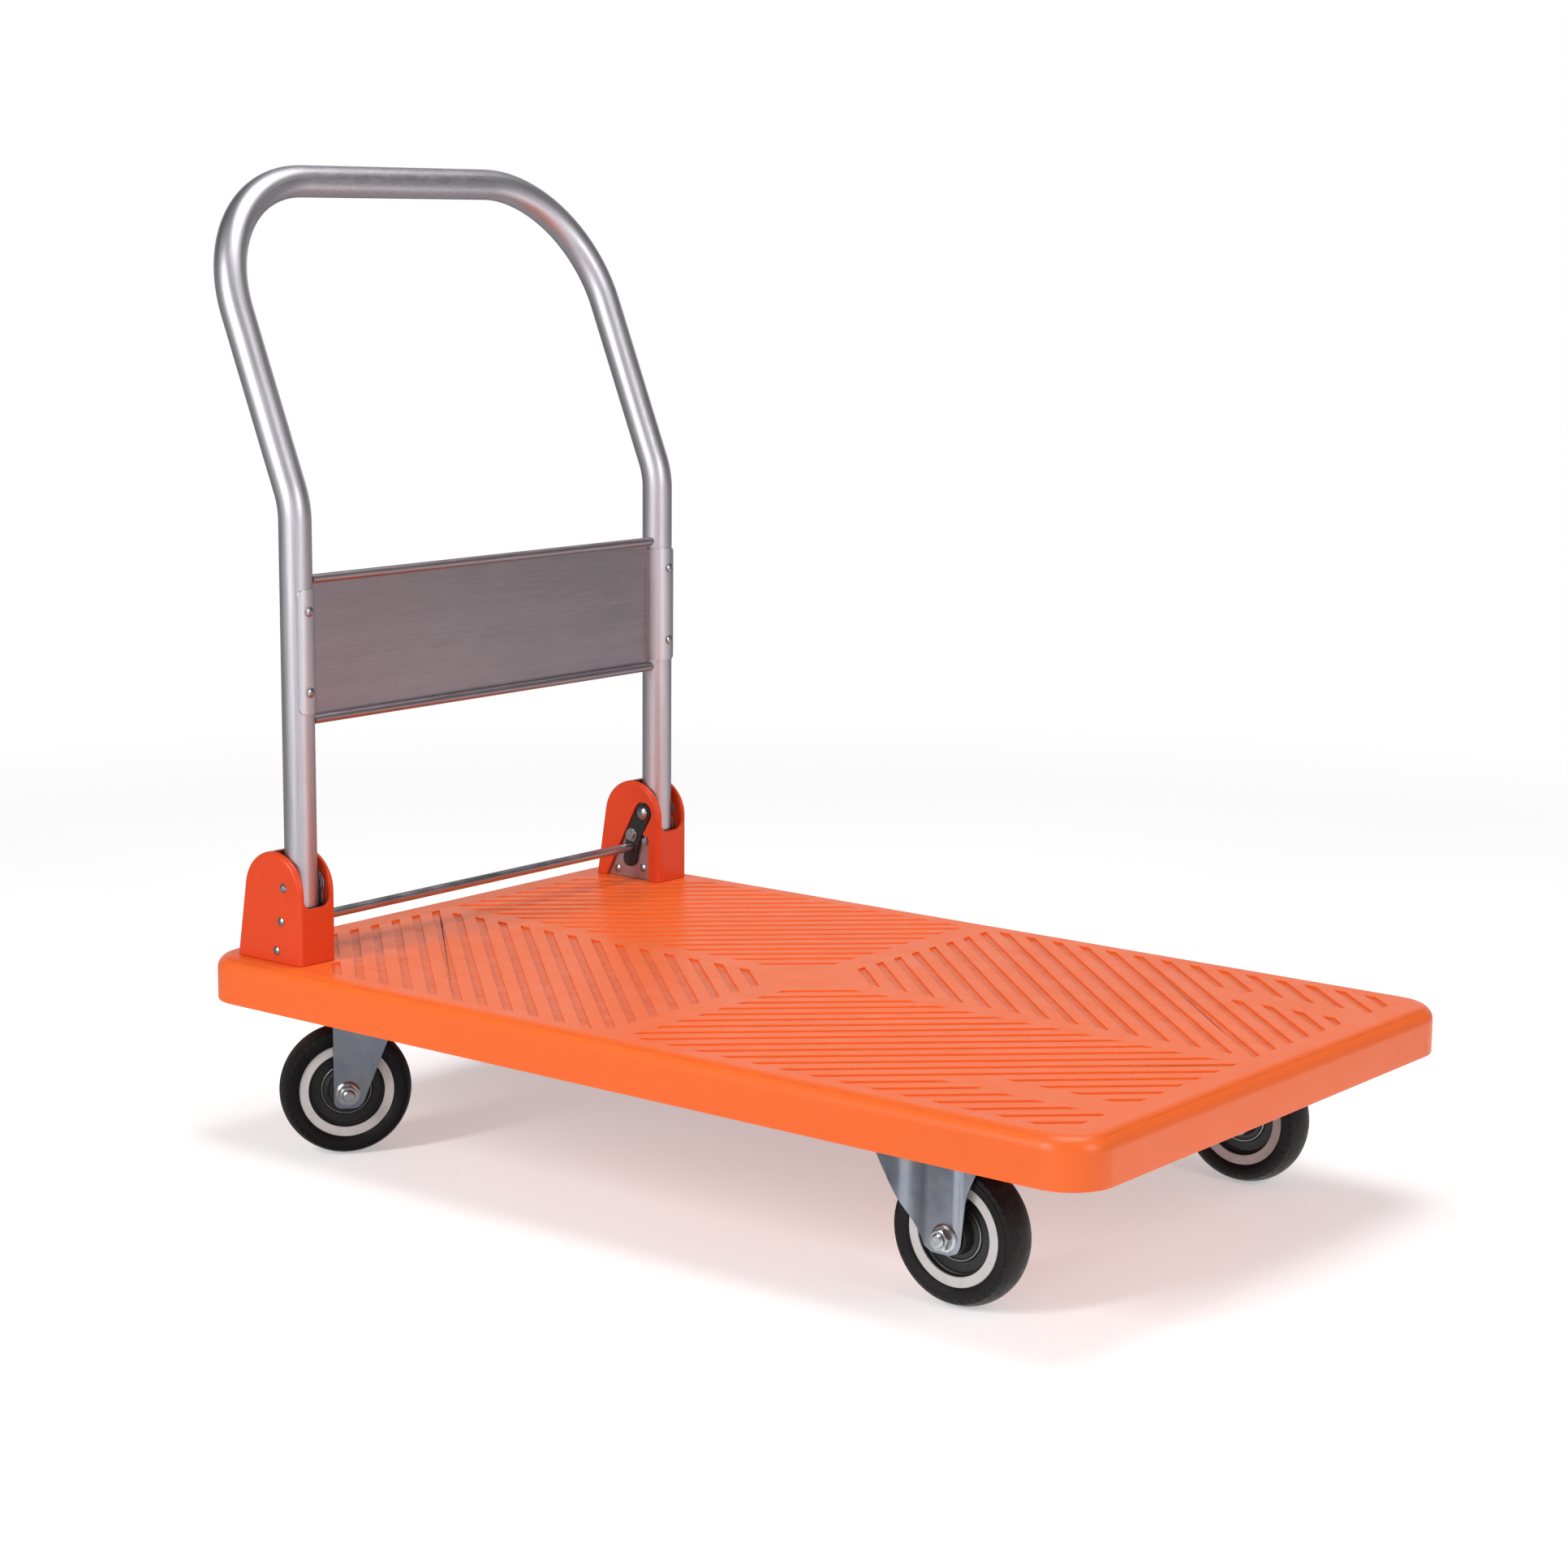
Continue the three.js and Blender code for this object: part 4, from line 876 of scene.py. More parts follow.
class BuildDeck(bpy.types.Operator):
    """Moulds the deck, with its rounded edge, the ribs below it and the slanted grooves of its tread"""

    bl_idname = "cart.build_deck"
    bl_label = "Deck"

    def execute(self, context):
        size, caster, hinge = (getattr(context.scene, f"cart_{key}") for key in ("deck", "caster", "hinge"))
        foot = 0.0012
        deck = block("deck_moulding", DECK_LOW, DECK_HIGH)
        for test, width, segments in (
                (lambda a, b: abs(a.z - b.z) > 0.01, size.corner, 14),
                (lambda a, b: min(a.z, b.z) > DECK_TOP - GAP, size.fillet, 6),
                (lambda a, b: max(a.z, b.z) < DECK_LOW.z + GAP, foot, 2)):
            pick(deck, "EDGE", test)
            bpy.ops.mesh.bevel(offset=width, segments=segments, affect="EDGES")

        ribs_low = DECK_LOW.z + size.rib_set_back
        pick(deck, "FACE", lambda place, normal: normal.z < STRAIGHT_DOWN)
        bpy.ops.mesh.inset(thickness=size.skirt - foot)
        bpy.ops.mesh.inset(thickness=0.0003, depth=-size.rib_set_back)
        below = lambda place, normal: normal.z < STRAIGHT_DOWN and abs(place.z - ribs_low) < 0.0005
        reach = DECK_HIGH - DECK_LOW
        for axis, start, run, cells in ((X, DECK_LOW.x, reach.x, size.cells_long),
                                        (Y, DECK_LOW.y, reach.y, size.cells_wide)):
            for i in range(1, cells):
                pick(deck, "FACE", below)
                bpy.ops.mesh.bisect(plane_co=axis * (start + run * i / cells), plane_no=axis)
        pick(deck, "FACE", below)
        bpy.ops.mesh.inset(thickness=size.rib / 2, use_individual=True)
        bpy.ops.mesh.inset(thickness=0.0010, depth=-(DECK_TOP - size.top - ribs_low), use_individual=True)

        pads, clearings = [], []
        sunk, seat_height, clear_height = DECK_TOP - 0.003, 0.160, 0.150
        seats = [AXLES[f"front_{hand}"].xy - X.xy * caster.plate_back for hand in HANDS]
        seats += [pin.xy for pin in KINGPINS.values()]
        half = Vector((caster.plate_length, caster.plate_width)) / 2
        for seat in seats:
            for low, high, margin, group in ((seat_height, sunk, 0.004, pads),
                                             (clear_height, seat_height, 0.0025, clearings)):
                edge = half + Vector((margin, margin))
                group.append(block("seat", (*(seat - edge), low), (*(seat + edge), high)))
        for sign in HANDS.values():
            low = Vector((PIVOT.x - hinge.rear, sign * UPRIGHT_Y - hinge.width / 2, ribs_low))
            high = Vector((PIVOT.x + hinge.front, sign * UPRIGHT_Y + hinge.width / 2, sunk))
            pads.append(block("hinge_seat", low, high))
        unite(deck, *pads)
        carve(deck, *clearings, groove_cutter(size))
        smooth(deck, 40)
        fit(deck, "deck_orange", "deck_plastic", "chassis", "deck")
        return {"FINISHED"}


# ------------------------------------------------------------ handle
def handle_path(size):
    """Directions and places along half of the handle, from the right stub to the middle of its top bar."""
    back = upright(-math.sin(size.lean), math.cos(size.lean))
    out = upright(math.cos(size.lean), math.sin(size.lean))
    tangent = size.bend_radius * math.tan(size.lean / 2)
    start = Vector((PIVOT.x, -UPRIGHT_Y, PIVOT.z - size.stub))
    bend_start = Vector((PIVOT.x, -UPRIGHT_Y, DECK_TOP + size.bend_rise - tangent))
    bend_centre = bend_start - X * size.bend_radius
    bend_end = bend_centre + out * size.bend_radius
    slant = (size.top_rise - size.bend_rise) / math.cos(size.lean) - tangent
    corner_start = bend_end + back * (slant - size.corner_radius)
    corner_centre = corner_start + Y * size.corner_radius
    return SimpleNamespace(back=back, out=out, start=start, bend_start=bend_start, bend_centre=bend_centre,
                           bend_end=bend_end, corner_start=corner_start, corner_centre=corner_centre)


def along_tube(point, size, path):
    """Where a point lies on the tube if it were straightened: two places across, and the run along it.

    The run counts up on the right and down on the left, so that the two sides are streaked differently."""
    sign = 1 if point.y <= 0 else -1
    apart = 2
    point = Vector((point.x, -abs(point.y), point.z))
    bend_radius, corner = size.bend_radius, size.corner_radius
    to_bend = path.bend_start.z - path.start.z
    to_slant = to_bend + bend_radius * size.lean
    to_corner = to_slant + (path.corner_start - path.bend_end).length
    aside = sign * (point.y + UPRIGHT_Y)
    if point.z <= path.bend_start.z:
        return point.x - PIVOT.x, aside, sign * (point.z - path.start.z - apart)
    away = point - path.bend_end
    if away.dot(path.back) < 0:
        away = point - path.bend_centre
        run = to_bend + bend_radius * math.atan2(away.z, away.x)
        return Vector((away.x, away.z)).length - bend_radius, aside, sign * (run - apart)
    rise, across = away.dot(path.back), away.dot(path.out)
    if (point - path.corner_start).dot(path.back) < 0:
        return across, aside, sign * (to_slant + rise - apart)
    spoke = point - path.corner_centre
    up = spoke.dot(path.back)
    if spoke.y < 0:
        run = to_corner + corner * math.atan2(up, -spoke.y)
        return across, sign * (corner - Vector((up, spoke.y)).length), sign * (run - apart)
    return across, sign * (corner - up), sign * (to_corner + corner * math.pi / 2 + spoke.y - apart)


def keep_places(piece, places):
    """Keeps a place for each vertex, so that a pattern follows the piece."""
    rest()
    attribute = piece.data.attributes.new("place", "FLOAT_VECTOR", "POINT")
    attribute.data.foreach_set("vector", [part for place in places for part in place])


class BuildHandle(bpy.types.Operator):
    """Sweeps the handle tube along its path, gives it its wall, and drills it for the hinge bolts"""

    bl_idname = "cart.build_handle"
    bl_label = "Handle tube"

    def execute(self, context):
        size = context.scene.cart_handle
        path = handle_path(size)
        straight = path.bend_start - path.start
        slant = path.corner_start - path.bend_end
        across = Y * 2 * -path.corner_centre.y
        corner_axis = path.back.cross(Y)
        far_bend = Vector((path.bend_centre.x, UPRIGHT_Y, path.bend_centre.z))
        rest()
        bpy.ops.mesh.primitive_circle_add(vertices=48, radius=size.radius, location=path.start)
        tube = settle("handle_loop")
        edit(tube, "EDGE")
        extrude(straight)
        bend(-size.lean, path.bend_centre, Y, 12)
        extrude(slant)
        bend(math.pi / 2, path.corner_centre, corner_axis, 32)
        extrude(across)
        bend(math.pi / 2, path.corner_centre + across, corner_axis, 32)
        extrude(-slant)
        bend(size.lean, far_bend, Y, 12)
        extrude(-straight)
        tidy()
        modify(tube, "SOLIDIFY", thickness=size.wall, offset=-1)
        carve(tube, *(drill(PIVOT_HOLE, side * UPRIGHT_Y - FAR, side * UPRIGHT_Y + FAR, PIVOT)
                      for side in HANDS.values()))
        soften(tube, 0.0004, 2, 60)
        keep_places(tube, [along_tube(vertex.co, size, path) for vertex in tube.data.vertices])
        smooth(tube, 50)
        fit(tube, "satin_tube", "satin_steel", "handle", "handle_tube")
        return {"FINISHED"}


def cross_recess(centre, axis, size, depth):
    """A cutter for a cross recess in a screw head, whose face lies at the centre."""
    sides = [direction for direction in (X, Y, Z) if abs(direction.dot(axis)) < 0.5]
    bars = []
    for direction, other in (sides, sides[::-1]):
        half = direction * size + other * size * 0.22 + axis * depth
        half = Vector([abs(part) for part in half])
        bars.append(block("recess", centre - half, centre + half))
    unite(*bars)
    return bars[0]


def dome(radius, height, steps=6):
    """Profile points of a dome, from its rim to its crown."""
    full = (radius * radius + height * height) / (2 * height)
    spread = math.asin(radius / full)
    turns = [spread * (1 - i / steps) for i in range(steps + 1)]
    return [(full * math.sin(turn), full * math.cos(turn) - full + height) for turn in turns]


def domed_screw(name, centre, axis, seat, head, height, size, reach):
    """A screw with a domed head on a short straight rim; its seat lies at a height along the axis."""
    rim, shank = height * 0.25, 0.002
    profile = [(0, seat - reach), (shank, seat - reach), (shank, seat), (head, seat), (head, seat + rim)]
    profile += raised(dome(head - 0.0001, height - rim), seat + rim)
    screw = turned(name, profile, 32, centre, axis)
    carve(screw, cross_recess(centre + axis * (seat + height), axis, size, height * 0.45))
    smooth(screw)
    return screw


class BuildPanel(bpy.types.Operator):
    """Bends the sheet between the uprights, with its curled hems, its wings and its four screws"""

    bl_idname = "cart.build_panel"
    bl_label = "Handle panel"

    def execute(self, context):
        size = context.scene.cart_panel
        tube = context.scene.cart_handle.radius
        low, high = DECK_TOP + size.low, DECK_TOP + size.high
        half = UPRIGHT_Y - tube - size.gap
        curl = size.hem - size.sheet / 2
        round_hem = math.radians(300)
        line = (arc((PIVOT.x + curl, low), curl, math.pi + round_hem, math.pi, 24)
                + arc((PIVOT.x + curl, high), curl, math.pi, math.pi - round_hem, 24))
        sheet = strip("handle_sheet", line, -half, Y * 2 * half)
        modify(sheet, "SOLIDIFY", thickness=size.sheet, offset=0)

        reach, overlap, margin = tube + size.gap + size.sheet / 2, 0.06, 0.06
        line = [(PIVOT.x + x, -UPRIGHT_Y + y)
                for x, y in arc((0, 0), reach, math.pi / 2 + overlap, -size.wing_past, 24)]
        wing = strip("right_wing", line, low, Z * (high - low), "XY")
        modify(wing, "SOLIDIFY", thickness=size.sheet, offset=0)
        edge = (reach + size.sheet / 2) * math.sin(size.wing_past)
        trim = rectangle(margin, (high - low) / 2 - size.wing_margin, size.wing_corner)
        shape = [(-UPRIGHT_Y - edge + margin + y, (low + high) / 2 + z) for y, z in trim]
        carve(wing, slab("wing_trim", shape, PIVOT.x - 0.05, X * 0.1, "YZ"), operation="INTERSECT")
        unite(sheet, mirrored(wing, "left_wing"), wing)
        soften(sheet, 0.0003)
        smooth(sheet, 40)
        fit(sheet, "brushed_panel", "brushed_steel", "handle", "handle_panel")

        place = Vector((PIVOT.x, -UPRIGHT_Y, (low + high) / 2 - size.screw_spacing / 2))
        seat = tube + 2 * size.gap + size.sheet
        lower = domed_screw("right_lower_panel_screw", place, X, seat, size.screw_radius, 0.0024, 0.0026,
                            0.004)
        upper = duplicated(lower, "right_upper_panel_screw", location=Z * size.screw_spacing)
        for height, screw in (("lower", lower), ("upper", upper)):
            for side, piece in (("left", mirrored(screw, f"left_{height}_panel_screw")), ("right", screw)):
                fit(piece, "bright_plate", "bright_steel", "handle", f"panel_screw_{side}_{height}")
        return {"FINISHED"}


# ------------------------------------------------------------ hinges
# Each piece is drawn about the foot of the right pivot, with the deck's middle towards +Y. The plates' and
# levers' inner and outer faces lie at these distances from the tube's axis.
HOUSING_SCREWS = [upright(*place) for place in mm((-4, 42), (-11, 12))]
PLATE_SCREWS = [upright(*place) for place in mm((-40, 8), (-3, 13))]
BOLT = upright(0, RISE)
KNEE, TOE, STUD, GUIDE = [BOLT + upright(*step) for step in mm((-14, -29), (-20, -54), (-15.5, -26), (3, -31.5))]
PLATE_INNER, PLATE_OUTER = 0.0176, 0.0197
LEVER_INNER, LEVER_OUTER = 0.020, 0.024


def both_sides(piece, name, body, *nodes, finish="bright_plate", slot="bright_steel", below=30):
    """Puts a piece on the right hinge and its mirror image on the left."""
    focus(piece)
    piece.location = RIGHT_HINGE
    right = settle(f"right_{name}")
    for hand, made in (("right", right), ("left", mirrored(right, f"left_{name}"))):
        smooth(made, below)
        fit(made, finish, slot, body, *(f"{hand}_{node}" for node in nodes))


def housing_outline(size, inset, floor):
    rear, dome_rise, dome_radius = size.rear, size.dome_rise, size.dome_radius
    centre = (size.front - dome_radius, dome_rise)
    away = math.hypot(centre[0] + rear, dome_rise)
    touch = math.atan2(-dome_rise, -rear - centre[0]) - math.acos(dome_radius / away)
    slope = (dome_rise + dome_radius * math.sin(touch)) / (centre[0] + dome_radius * math.cos(touch) + rear)
    round_top = arc(centre, dome_radius - inset, 0, touch + 2 * math.pi, 28)
    end_x, end_z = round_top[-1]
    return round_top + [(end_x - (end_z - floor) / slope, floor), (size.front - inset, floor)]


def window_outline(size, grown, floor, lobe=None):
    """Outline of the cheek window, or of the plate behind it where it is grown."""
    lobe, rear, front = lobe or size.lobe + grown, size.window_rear + grown, size.window_front + grown
    last = math.atan2(RISE, rear) + math.asin(lobe / math.hypot(rear, RISE)) + math.pi / 2
    points = arc((0, RISE), lobe, -0.2 * math.pi, last, 20) + [(-rear, 0), (-rear, floor), (front, floor)]
    if grown == 0:
        points += [(front, RISE - size.ledge_drop), (-0.0005, RISE - size.notch_drop)]
    return points


class BuildHousings(bpy.types.Operator):
    """Moulds the two hinge housings, hollow, slotted for the tube and open at the inner cheek"""

    bl_idname = "cart.build_housings"
    bl_label = "Hinge housings"

    def execute(self, context):
        size = context.scene.cart_hinge
        tube = context.scene.cart_handle.radius
        half, wall = size.width / 2, size.wall
        below = -0.02
        shell = slab("housing_shell", housing_outline(size, 0, -0.012), -half, Y * size.width)
        soften(shell, size.rounding, 6)
        edit(shell)
        bpy.ops.mesh.bisect(plane_co=Z * GAP, plane_no=Z, clear_inner=True, use_fill=True)
        tidy()
        cavity = slab("cavity", housing_outline(size, wall, below), wall - half, Y * 2 * (half - wall))
        half_slot, corner = size.slot_width / 2, size.slot_corner
        slot = ([(half_slot, 0.15), (-half_slot, 0.15)]
                + arc((corner - half_slot, size.slot_rise + corner), corner, math.pi, 1.5 * math.pi)
                + arc((half_slot - corner, size.slot_rise + corner), corner, 1.5 * math.pi, 2 * math.pi))
        opening = slab("slot", slot, -tube - size.slot_back, X * 0.08, "YZ")
        window = slab("window", window_outline(size, 0, below), half - wall - PAST, Y * 0.01)
        holes = [drill(radius, -half - PAST, PAST + wall - half, centre) for radius, centre in (
            (PIVOT_HOLE, BOLT), *((SCREW_HOLE, screw) for screw in HOUSING_SCREWS))]
        carve(shell, cavity, opening, window)
        flatten(shell)
        soften(shell, 0.0007, 3, 55)
        carve(shell, *holes)
        both_sides(shell, "housing_shell", "chassis", "hinge_housing", finish="housing_orange",
                   slot="housing_plastic", below=40)
        return {"FINISHED"}


def stud_slot(swing):
    """The curved slot that the lock stud follows."""
    arm = STUD - BOLT
    reach, start = math.hypot(arm.x, arm.z), math.atan2(arm.z, arm.x)
    wide = 0.003 + 2 * GAP
    first, last = start + wide / reach, start - swing - wide / reach
    return arc((0, RISE), reach + wide, last, first, 10) + arc((0, RISE), reach - wide, first, last, 10)


class BuildBrackets(bpy.types.Operator):
    """Bends the channel in each housing, drills it and slots it, and rivets it to the cheek"""

    bl_idname = "cart.build_brackets"
    bl_label = "Hinge brackets"

    def execute(self, context):
        size = context.scene.cart_hinge
        overlap, sheet = size.overlap, Y * (PLATE_OUTER - PLATE_INNER)
        channel, outer = [slab("channel", window_outline(size, overlap, GAP, lobe), level, sheet)
                          for lobe, level in ((size.lobe + 0.001, PLATE_INNER), (0.0085, -PLATE_OUTER))]
        low = (-size.window_rear - overlap, -PLATE_OUTER, GAP)
        high = (size.window_front + overlap, PLATE_OUTER, GAP + 0.0025)
        unite(channel, outer, block("foot", low, high))
        flatten(channel)
        soften(channel, 0.0004, 3, 55)
        carve(channel, drill(PIVOT_HOLE, -FAR, FAR, BOLT), drill(STUD_HOLE, -FAR, FAR, GUIDE),
              slab("stud_slot", stud_slot(SWING), -FAR, Y * 2 * FAR),
              *(drill(SCREW_HOLE, -FAR, 0, screw) for screw in HOUSING_SCREWS))
        both_sides(channel, "bracket_channel", "chassis", "hinge_bracket", finish="brushed_bracket",
                   slot="brushed_steel", below=40)
        for i, place in enumerate(PLATE_SCREWS, 1):
            rivet = domed_screw("rivet", place, Y, PLATE_OUTER, 0.0045, 0.0020, 0.0023, 0.001)
            both_sides(rivet, f"bracket_screw_{i}", "chassis")
        return {"FINISHED"}


def hex_head(radius, low, high, turn, chamfer=0.12, centre=ORIGIN):
    """A hexagon along +Y, its corners cut back round the far face."""
    head = prism(6, radius, low, high, centre, Y, turn)
    wide, shoulder = radius * 1.1, high - radius * (0.1 + chamfer) * 0.6
    profile = [(0, low - PAST), (wide, low - PAST), (wide, shoulder), (radius * (1 - chamfer), high), (0, high)]
    carve(head, turned("chamfer", profile, 36, centre), operation="INTERSECT")
    return head


def hex_screw(centre, seat, washer_radius, head_radius, head, turn):
    """A hexagon head on a washer, with a plain shank that ends level with the outer plate."""
    end, shank, top, ease = -PLATE_OUTER, 0.003, seat + 0.0012, 0.0003
    profile = [(0, end), (shank - ease, end), (shank, end + ease), (shank, seat), (washer_radius - 0.0002, seat),
               (washer_radius, seat + 0.0002), (washer_radius, top - ease), (washer_radius - ease, top), (0, top)]
    screw = turned("hex_screw", profile, 36, centre)
    unite(screw, hex_head(head_radius, top - ease, top + head, turn, centre=centre))
    smooth(screw)
    return screw


class BuildLocks(bpy.types.Operator):
    """Cuts the lock levers, their studs and guides, the foot bar between them and the hinge bolts"""

    bl_idname = "cart.build_locks"
    bl_label = "Handle lock"

    def execute(self, context):
        size = context.scene.cart_hinge
        joints = [(BOLT, size.head_radius), (KNEE, size.knee_radius), (TOE, size.toe_radius)]
        arms = [slab("arm", tapered_bar(start.xz, start_radius, end.xz, end_radius), LEVER_INNER,
                     Y * (LEVER_OUTER - LEVER_INNER))
                for (start, start_radius), (end, end_radius) in zip(joints, joints[1:])]
        unite(*arms)
        lever = arms[0]
        flatten(lever)
        soften(lever, 0.0006, 3)
        carve(lever, *(drill(radius, LEVER_INNER - PAST, LEVER_OUTER + PAST, place)
                       for radius, place in ((PIVOT_HOLE, BOLT), (STUD_HOLE, STUD))))
        both_sides(lever, "lock_arm", "lock_yoke", "lock_lever", finish="black_enamel", slot="black_steel",
                   below=35)

        seat, rim, flange, crown = LEVER_OUTER + GAP, 0.0008, 0.0072, 0.0028
        profile = mm((0, -26.7), (1.8, -26.4), (3.4, -25.8), (4.6, -24.3), (4, -24.3))
        profile += [(0.004, seat), (flange - 0.0002, seat), (flange, seat + 0.0002), (flange, seat + rim)]
        profile += raised(dome(flange, crown, 8)[1:], seat + rim)
        bolt = turned("bolt", profile, 40, BOLT)
        carve(bolt, cross_recess(BOLT + Y * (seat + rim + crown), Y, 0.0028, 0.0012))
        both_sides(bolt, "pivot_rivet", "chassis", "pivot_bolt")

        both_sides(hex_screw(STUD, seat, 0.0076, 0.0058, 0.0036, 0.3), "stud_hex", "lock_yoke", "lock_stud")
        both_sides(hex_screw(GUIDE, PLATE_OUTER + GAP, 0.0053, 0.0043, 0.0034, 0.1), "guide_hex", "chassis",
                   "guide_bolt")
        for i, place in enumerate(HOUSING_SCREWS, 1):
            screw = domed_screw("screw", place, -Y, size.width / 2 + GAP, 0.0044, 0.002, 0.0022, 0.006)
            both_sides(screw, f"housing_fixing_{i}", "chassis", f"housing_screw_{i}")

        tube, wide, thick, ease = context.scene.cart_handle.radius, 0.011, 0.001, 0.0002
        for side, low in (("inner", tube + GAP), ("outer", -tube - GAP - thick)):
            profile = [(PIVOT_HOLE, low), (wide - ease, low), (wide, low + ease), (wide, low + thick - ease),
                       (wide - ease, low + thick), (PIVOT_HOLE, low + thick)]
            both_sides(ring("washer", profile, 48, BOLT), f"{side}_spacer", "handle", f"washer_{side}")

        centre, half, radius = middle("foot_bar"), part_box("foot_bar")[1].y, size.bar_radius
        end = [(0, -half), (radius - 0.0008, -half), (radius - 0.0002, 0.0003 - half), (radius, 0.0010 - half)]
        profile = end + [(across, -place) for across, place in reversed(end)]
        bar = turned("foot_rod", profile, 40, upright(centre.x, centre.z))
        smooth(bar, 40)
        fit(bar, "satin_bar", "satin_steel", "lock_yoke", "foot_bar")
        return {"FINISHED"}


# ------------------------------------------------------------ wheels
# A part of a wheel or caster is modelled once at the origin, about Y or Z, and copied to each of its seats.
AXLE_SEATS = {wheel: (axle, REAR_TURN if wheel in KINGPINS else 0) for wheel, axle in AXLES.items()}
PIN_SEATS = {seat: (Vector((pin.x, pin.y, AXLES[seat].z)), 0) for seat, pin in KINGPINS.items()}


def wheel_body(seat):
    return seat.replace("_", "_wheel_")


def fork_body(seat):
    """Rigid forks belong to the chassis, and swivel forks turn."""
    return seat.replace("rear", "swivel") if seat in KINGPINS else "chassis"


def chassis(seat):
    return "chassis"


def share_out(piece, name, node, body=fork_body, seats=AXLE_SEATS, finish="bright_plate", slot="bright_steel",
              below=30):
    """Smooths a piece, copies it to its seats, and takes the first away."""
    smooth(piece, below)
    keep_places(piece, [vertex.co for vertex in piece.data.vertices])
    for seat, (place, turn) in seats.items():
        made = duplicated(piece, f"{seat}_{name}", location=place, rotation_euler=(0, 0, turn))
        fit(made, finish, slot, body(seat), *([f"{seat}_{node}"] if node else []))
    drop(piece)


def both_faces(points, *between):
    """A closed profile from the points of one side, given as (radius, out), and their mirror image."""
    return [*points, *between, *((radius, -out) for radius, out in reversed(points))]


class BuildWheels(bpy.types.Operator):
    """Turns the tyres with their ticked shoulders, the hubs, the pale rings and the thin bright rings"""

    bl_idname = "cart.build_wheels"
    bl_label = "Wheels"

    def execute(self, context):
        size = context.scene.cart_wheel
        half, hub, hub_half = size.half_width, size.hub, size.hub_half
        rubber = mm((45, 12.6), (46.6, 13), (46.9, 14.3), (48.6, 15.8), (51.2, 17.1))
        rubber += raised(mm((54.2, -0.3), (55.6, 0), (56.4, 0), (56.7, -0.8), (60.6, -2), (60.9, -3), (62.4, -5.5),
                            (63.6, -8.5), (64.4, -12), (64.85, -15)), half)
        tyre = ring("tyre_body", both_faces(rubber, (size.radius, 0.0)), size.steps)

        def ticked(place, normal):
            step = round(math.atan2(place.z, place.x) / (2 * math.pi) * size.steps - 0.5)
            return 0.0575 < math.hypot(place.x, place.z) < 0.0602 and abs(normal.y) > 0.8 and step % 3 == 0

        pick(tyre, "FACE", ticked)
        bpy.ops.mesh.inset(thickness=0.0005, depth=0.0004, use_individual=True)
        tidy()
        share_out(tyre, "tyre_body", "tyre", wheel_body, finish="tyre_rubber", slot="tyre_rubber")

        side = [(0.0091, hub_half), (hub - 0.0006, hub_half), (hub, hub_half - 0.0006), (hub + 0.0006, 0.0120),
                (hub + 0.0018, 0.0085)]
        side += mm((22.2, 7.2), (23.2, 7.5), (25, 7.5), (26.2, 6.2), (30, 5.8), (34.5, 6), (35.2, 7.2), (36.6, 7.8),
                   (37.1, 10.5), (37.4, 11.8), (44, 12), (44.7, 11.2))
        share_out(ring("hub_body", both_faces(side), 96), "hub_body", "hub", wheel_body, finish="hub_black",
                  slot="hub_plastic")

        inner, rim, bead = size.ring, size.rim, size.bead
        pale = [(inner, 0.0105), (inner, 0.0131), (inner + 0.0004, 0.0136), (rim - 0.0005, 0.0136), (rim, 0.0132),
                (rim, 0.0122), (rim - 0.004, 0.0118), (rim - 0.004, 0.0105)]
        thin = [(bead + out, up) for out, up in mm((-0.5, 6.8), (-0.5, 7.9), (-0.2, 8.2), (0.2, 8.2), (0.5, 7.9),
                                                   (0.5, 6.8))]
        for name, side, finish, slot in (("pale_ring", pale, "ring_grey", "hub_plastic"),
                                         ("thin_ring", thin, "bright_plate", "zinc_steel")):
            face = ring(name, side, 96)
            other = mirrored(face, f"{name}_inner")
            focus(other)
            face.select_set(True)
            bpy.context.view_layer.objects.active = face
            bpy.ops.object.join()
            share_out(face, name, None, wheel_body, finish=finish, slot=slot)
        return {"FINISHED"}


# ------------------------------------------------------------ casters
def mounting_plate(size, x):
    """The plate against the deck, with the heads of its four bolts, in heights above the axle."""
    top = size.plate_top - AXLES["front_left"].z
    face = top - size.plate
    corners = rectangle(size.plate_length / 2, size.plate_width / 2, size.plate_corner)
    plate = slab("mounting_plate", [(a + x, b) for a, b in corners], face, Z * size.plate, "XY")
    soften(plate, 0.0005)
    for i, (dx, dy) in enumerate([(1, 1), (1, -1), (-1, -1), (-1, 1)]):
        centre = Vector((x + dx * size.bolt_long / 2, dy * size.bolt_wide / 2, 0))
        washer = raised(mm((0, -1), (7.8, -1), (7.8, 0.2), (0, 0.2)), face)
        unite(plate, turned("washer", washer, 28, centre, Z),
              prism(6, 0.0068, face - 0.0050, face - 0.0008, centre, Z, 0.4 * i),
              prism(16, 0.0039, top - 0.001, top + 0.022, centre, Z))
    return plate


def pressed(leg, folds):
    """Presses upright folds into a leg: a list of (forward, how far inwards), from the back forwards."""
    for x, _ in folds:
        edit(leg)
        bpy.ops.mesh.bisect(plane_co=(x, 0, 0), plane_no=(1, 0, 0))
    mode("OBJECT")

    def inwards(x):
        if x <= folds[0][0]:
            return folds[0][1]
        for (back, first), (front, last) in zip(folds, folds[1:]):
            if x <= front:
                return first + (last - first) * (x - back) / (front - back)
        return folds[-1][1]

    for x in sorted({round(vertex.co.x, 6) for vertex in leg.data.vertices}):
        step = inwards(x)
        if step:
            pick(leg, "VERT", lambda place: abs(place.x - x) < SAME_PLACE)
            bpy.ops.transform.translate(value=(0, step, 0))
    rest()


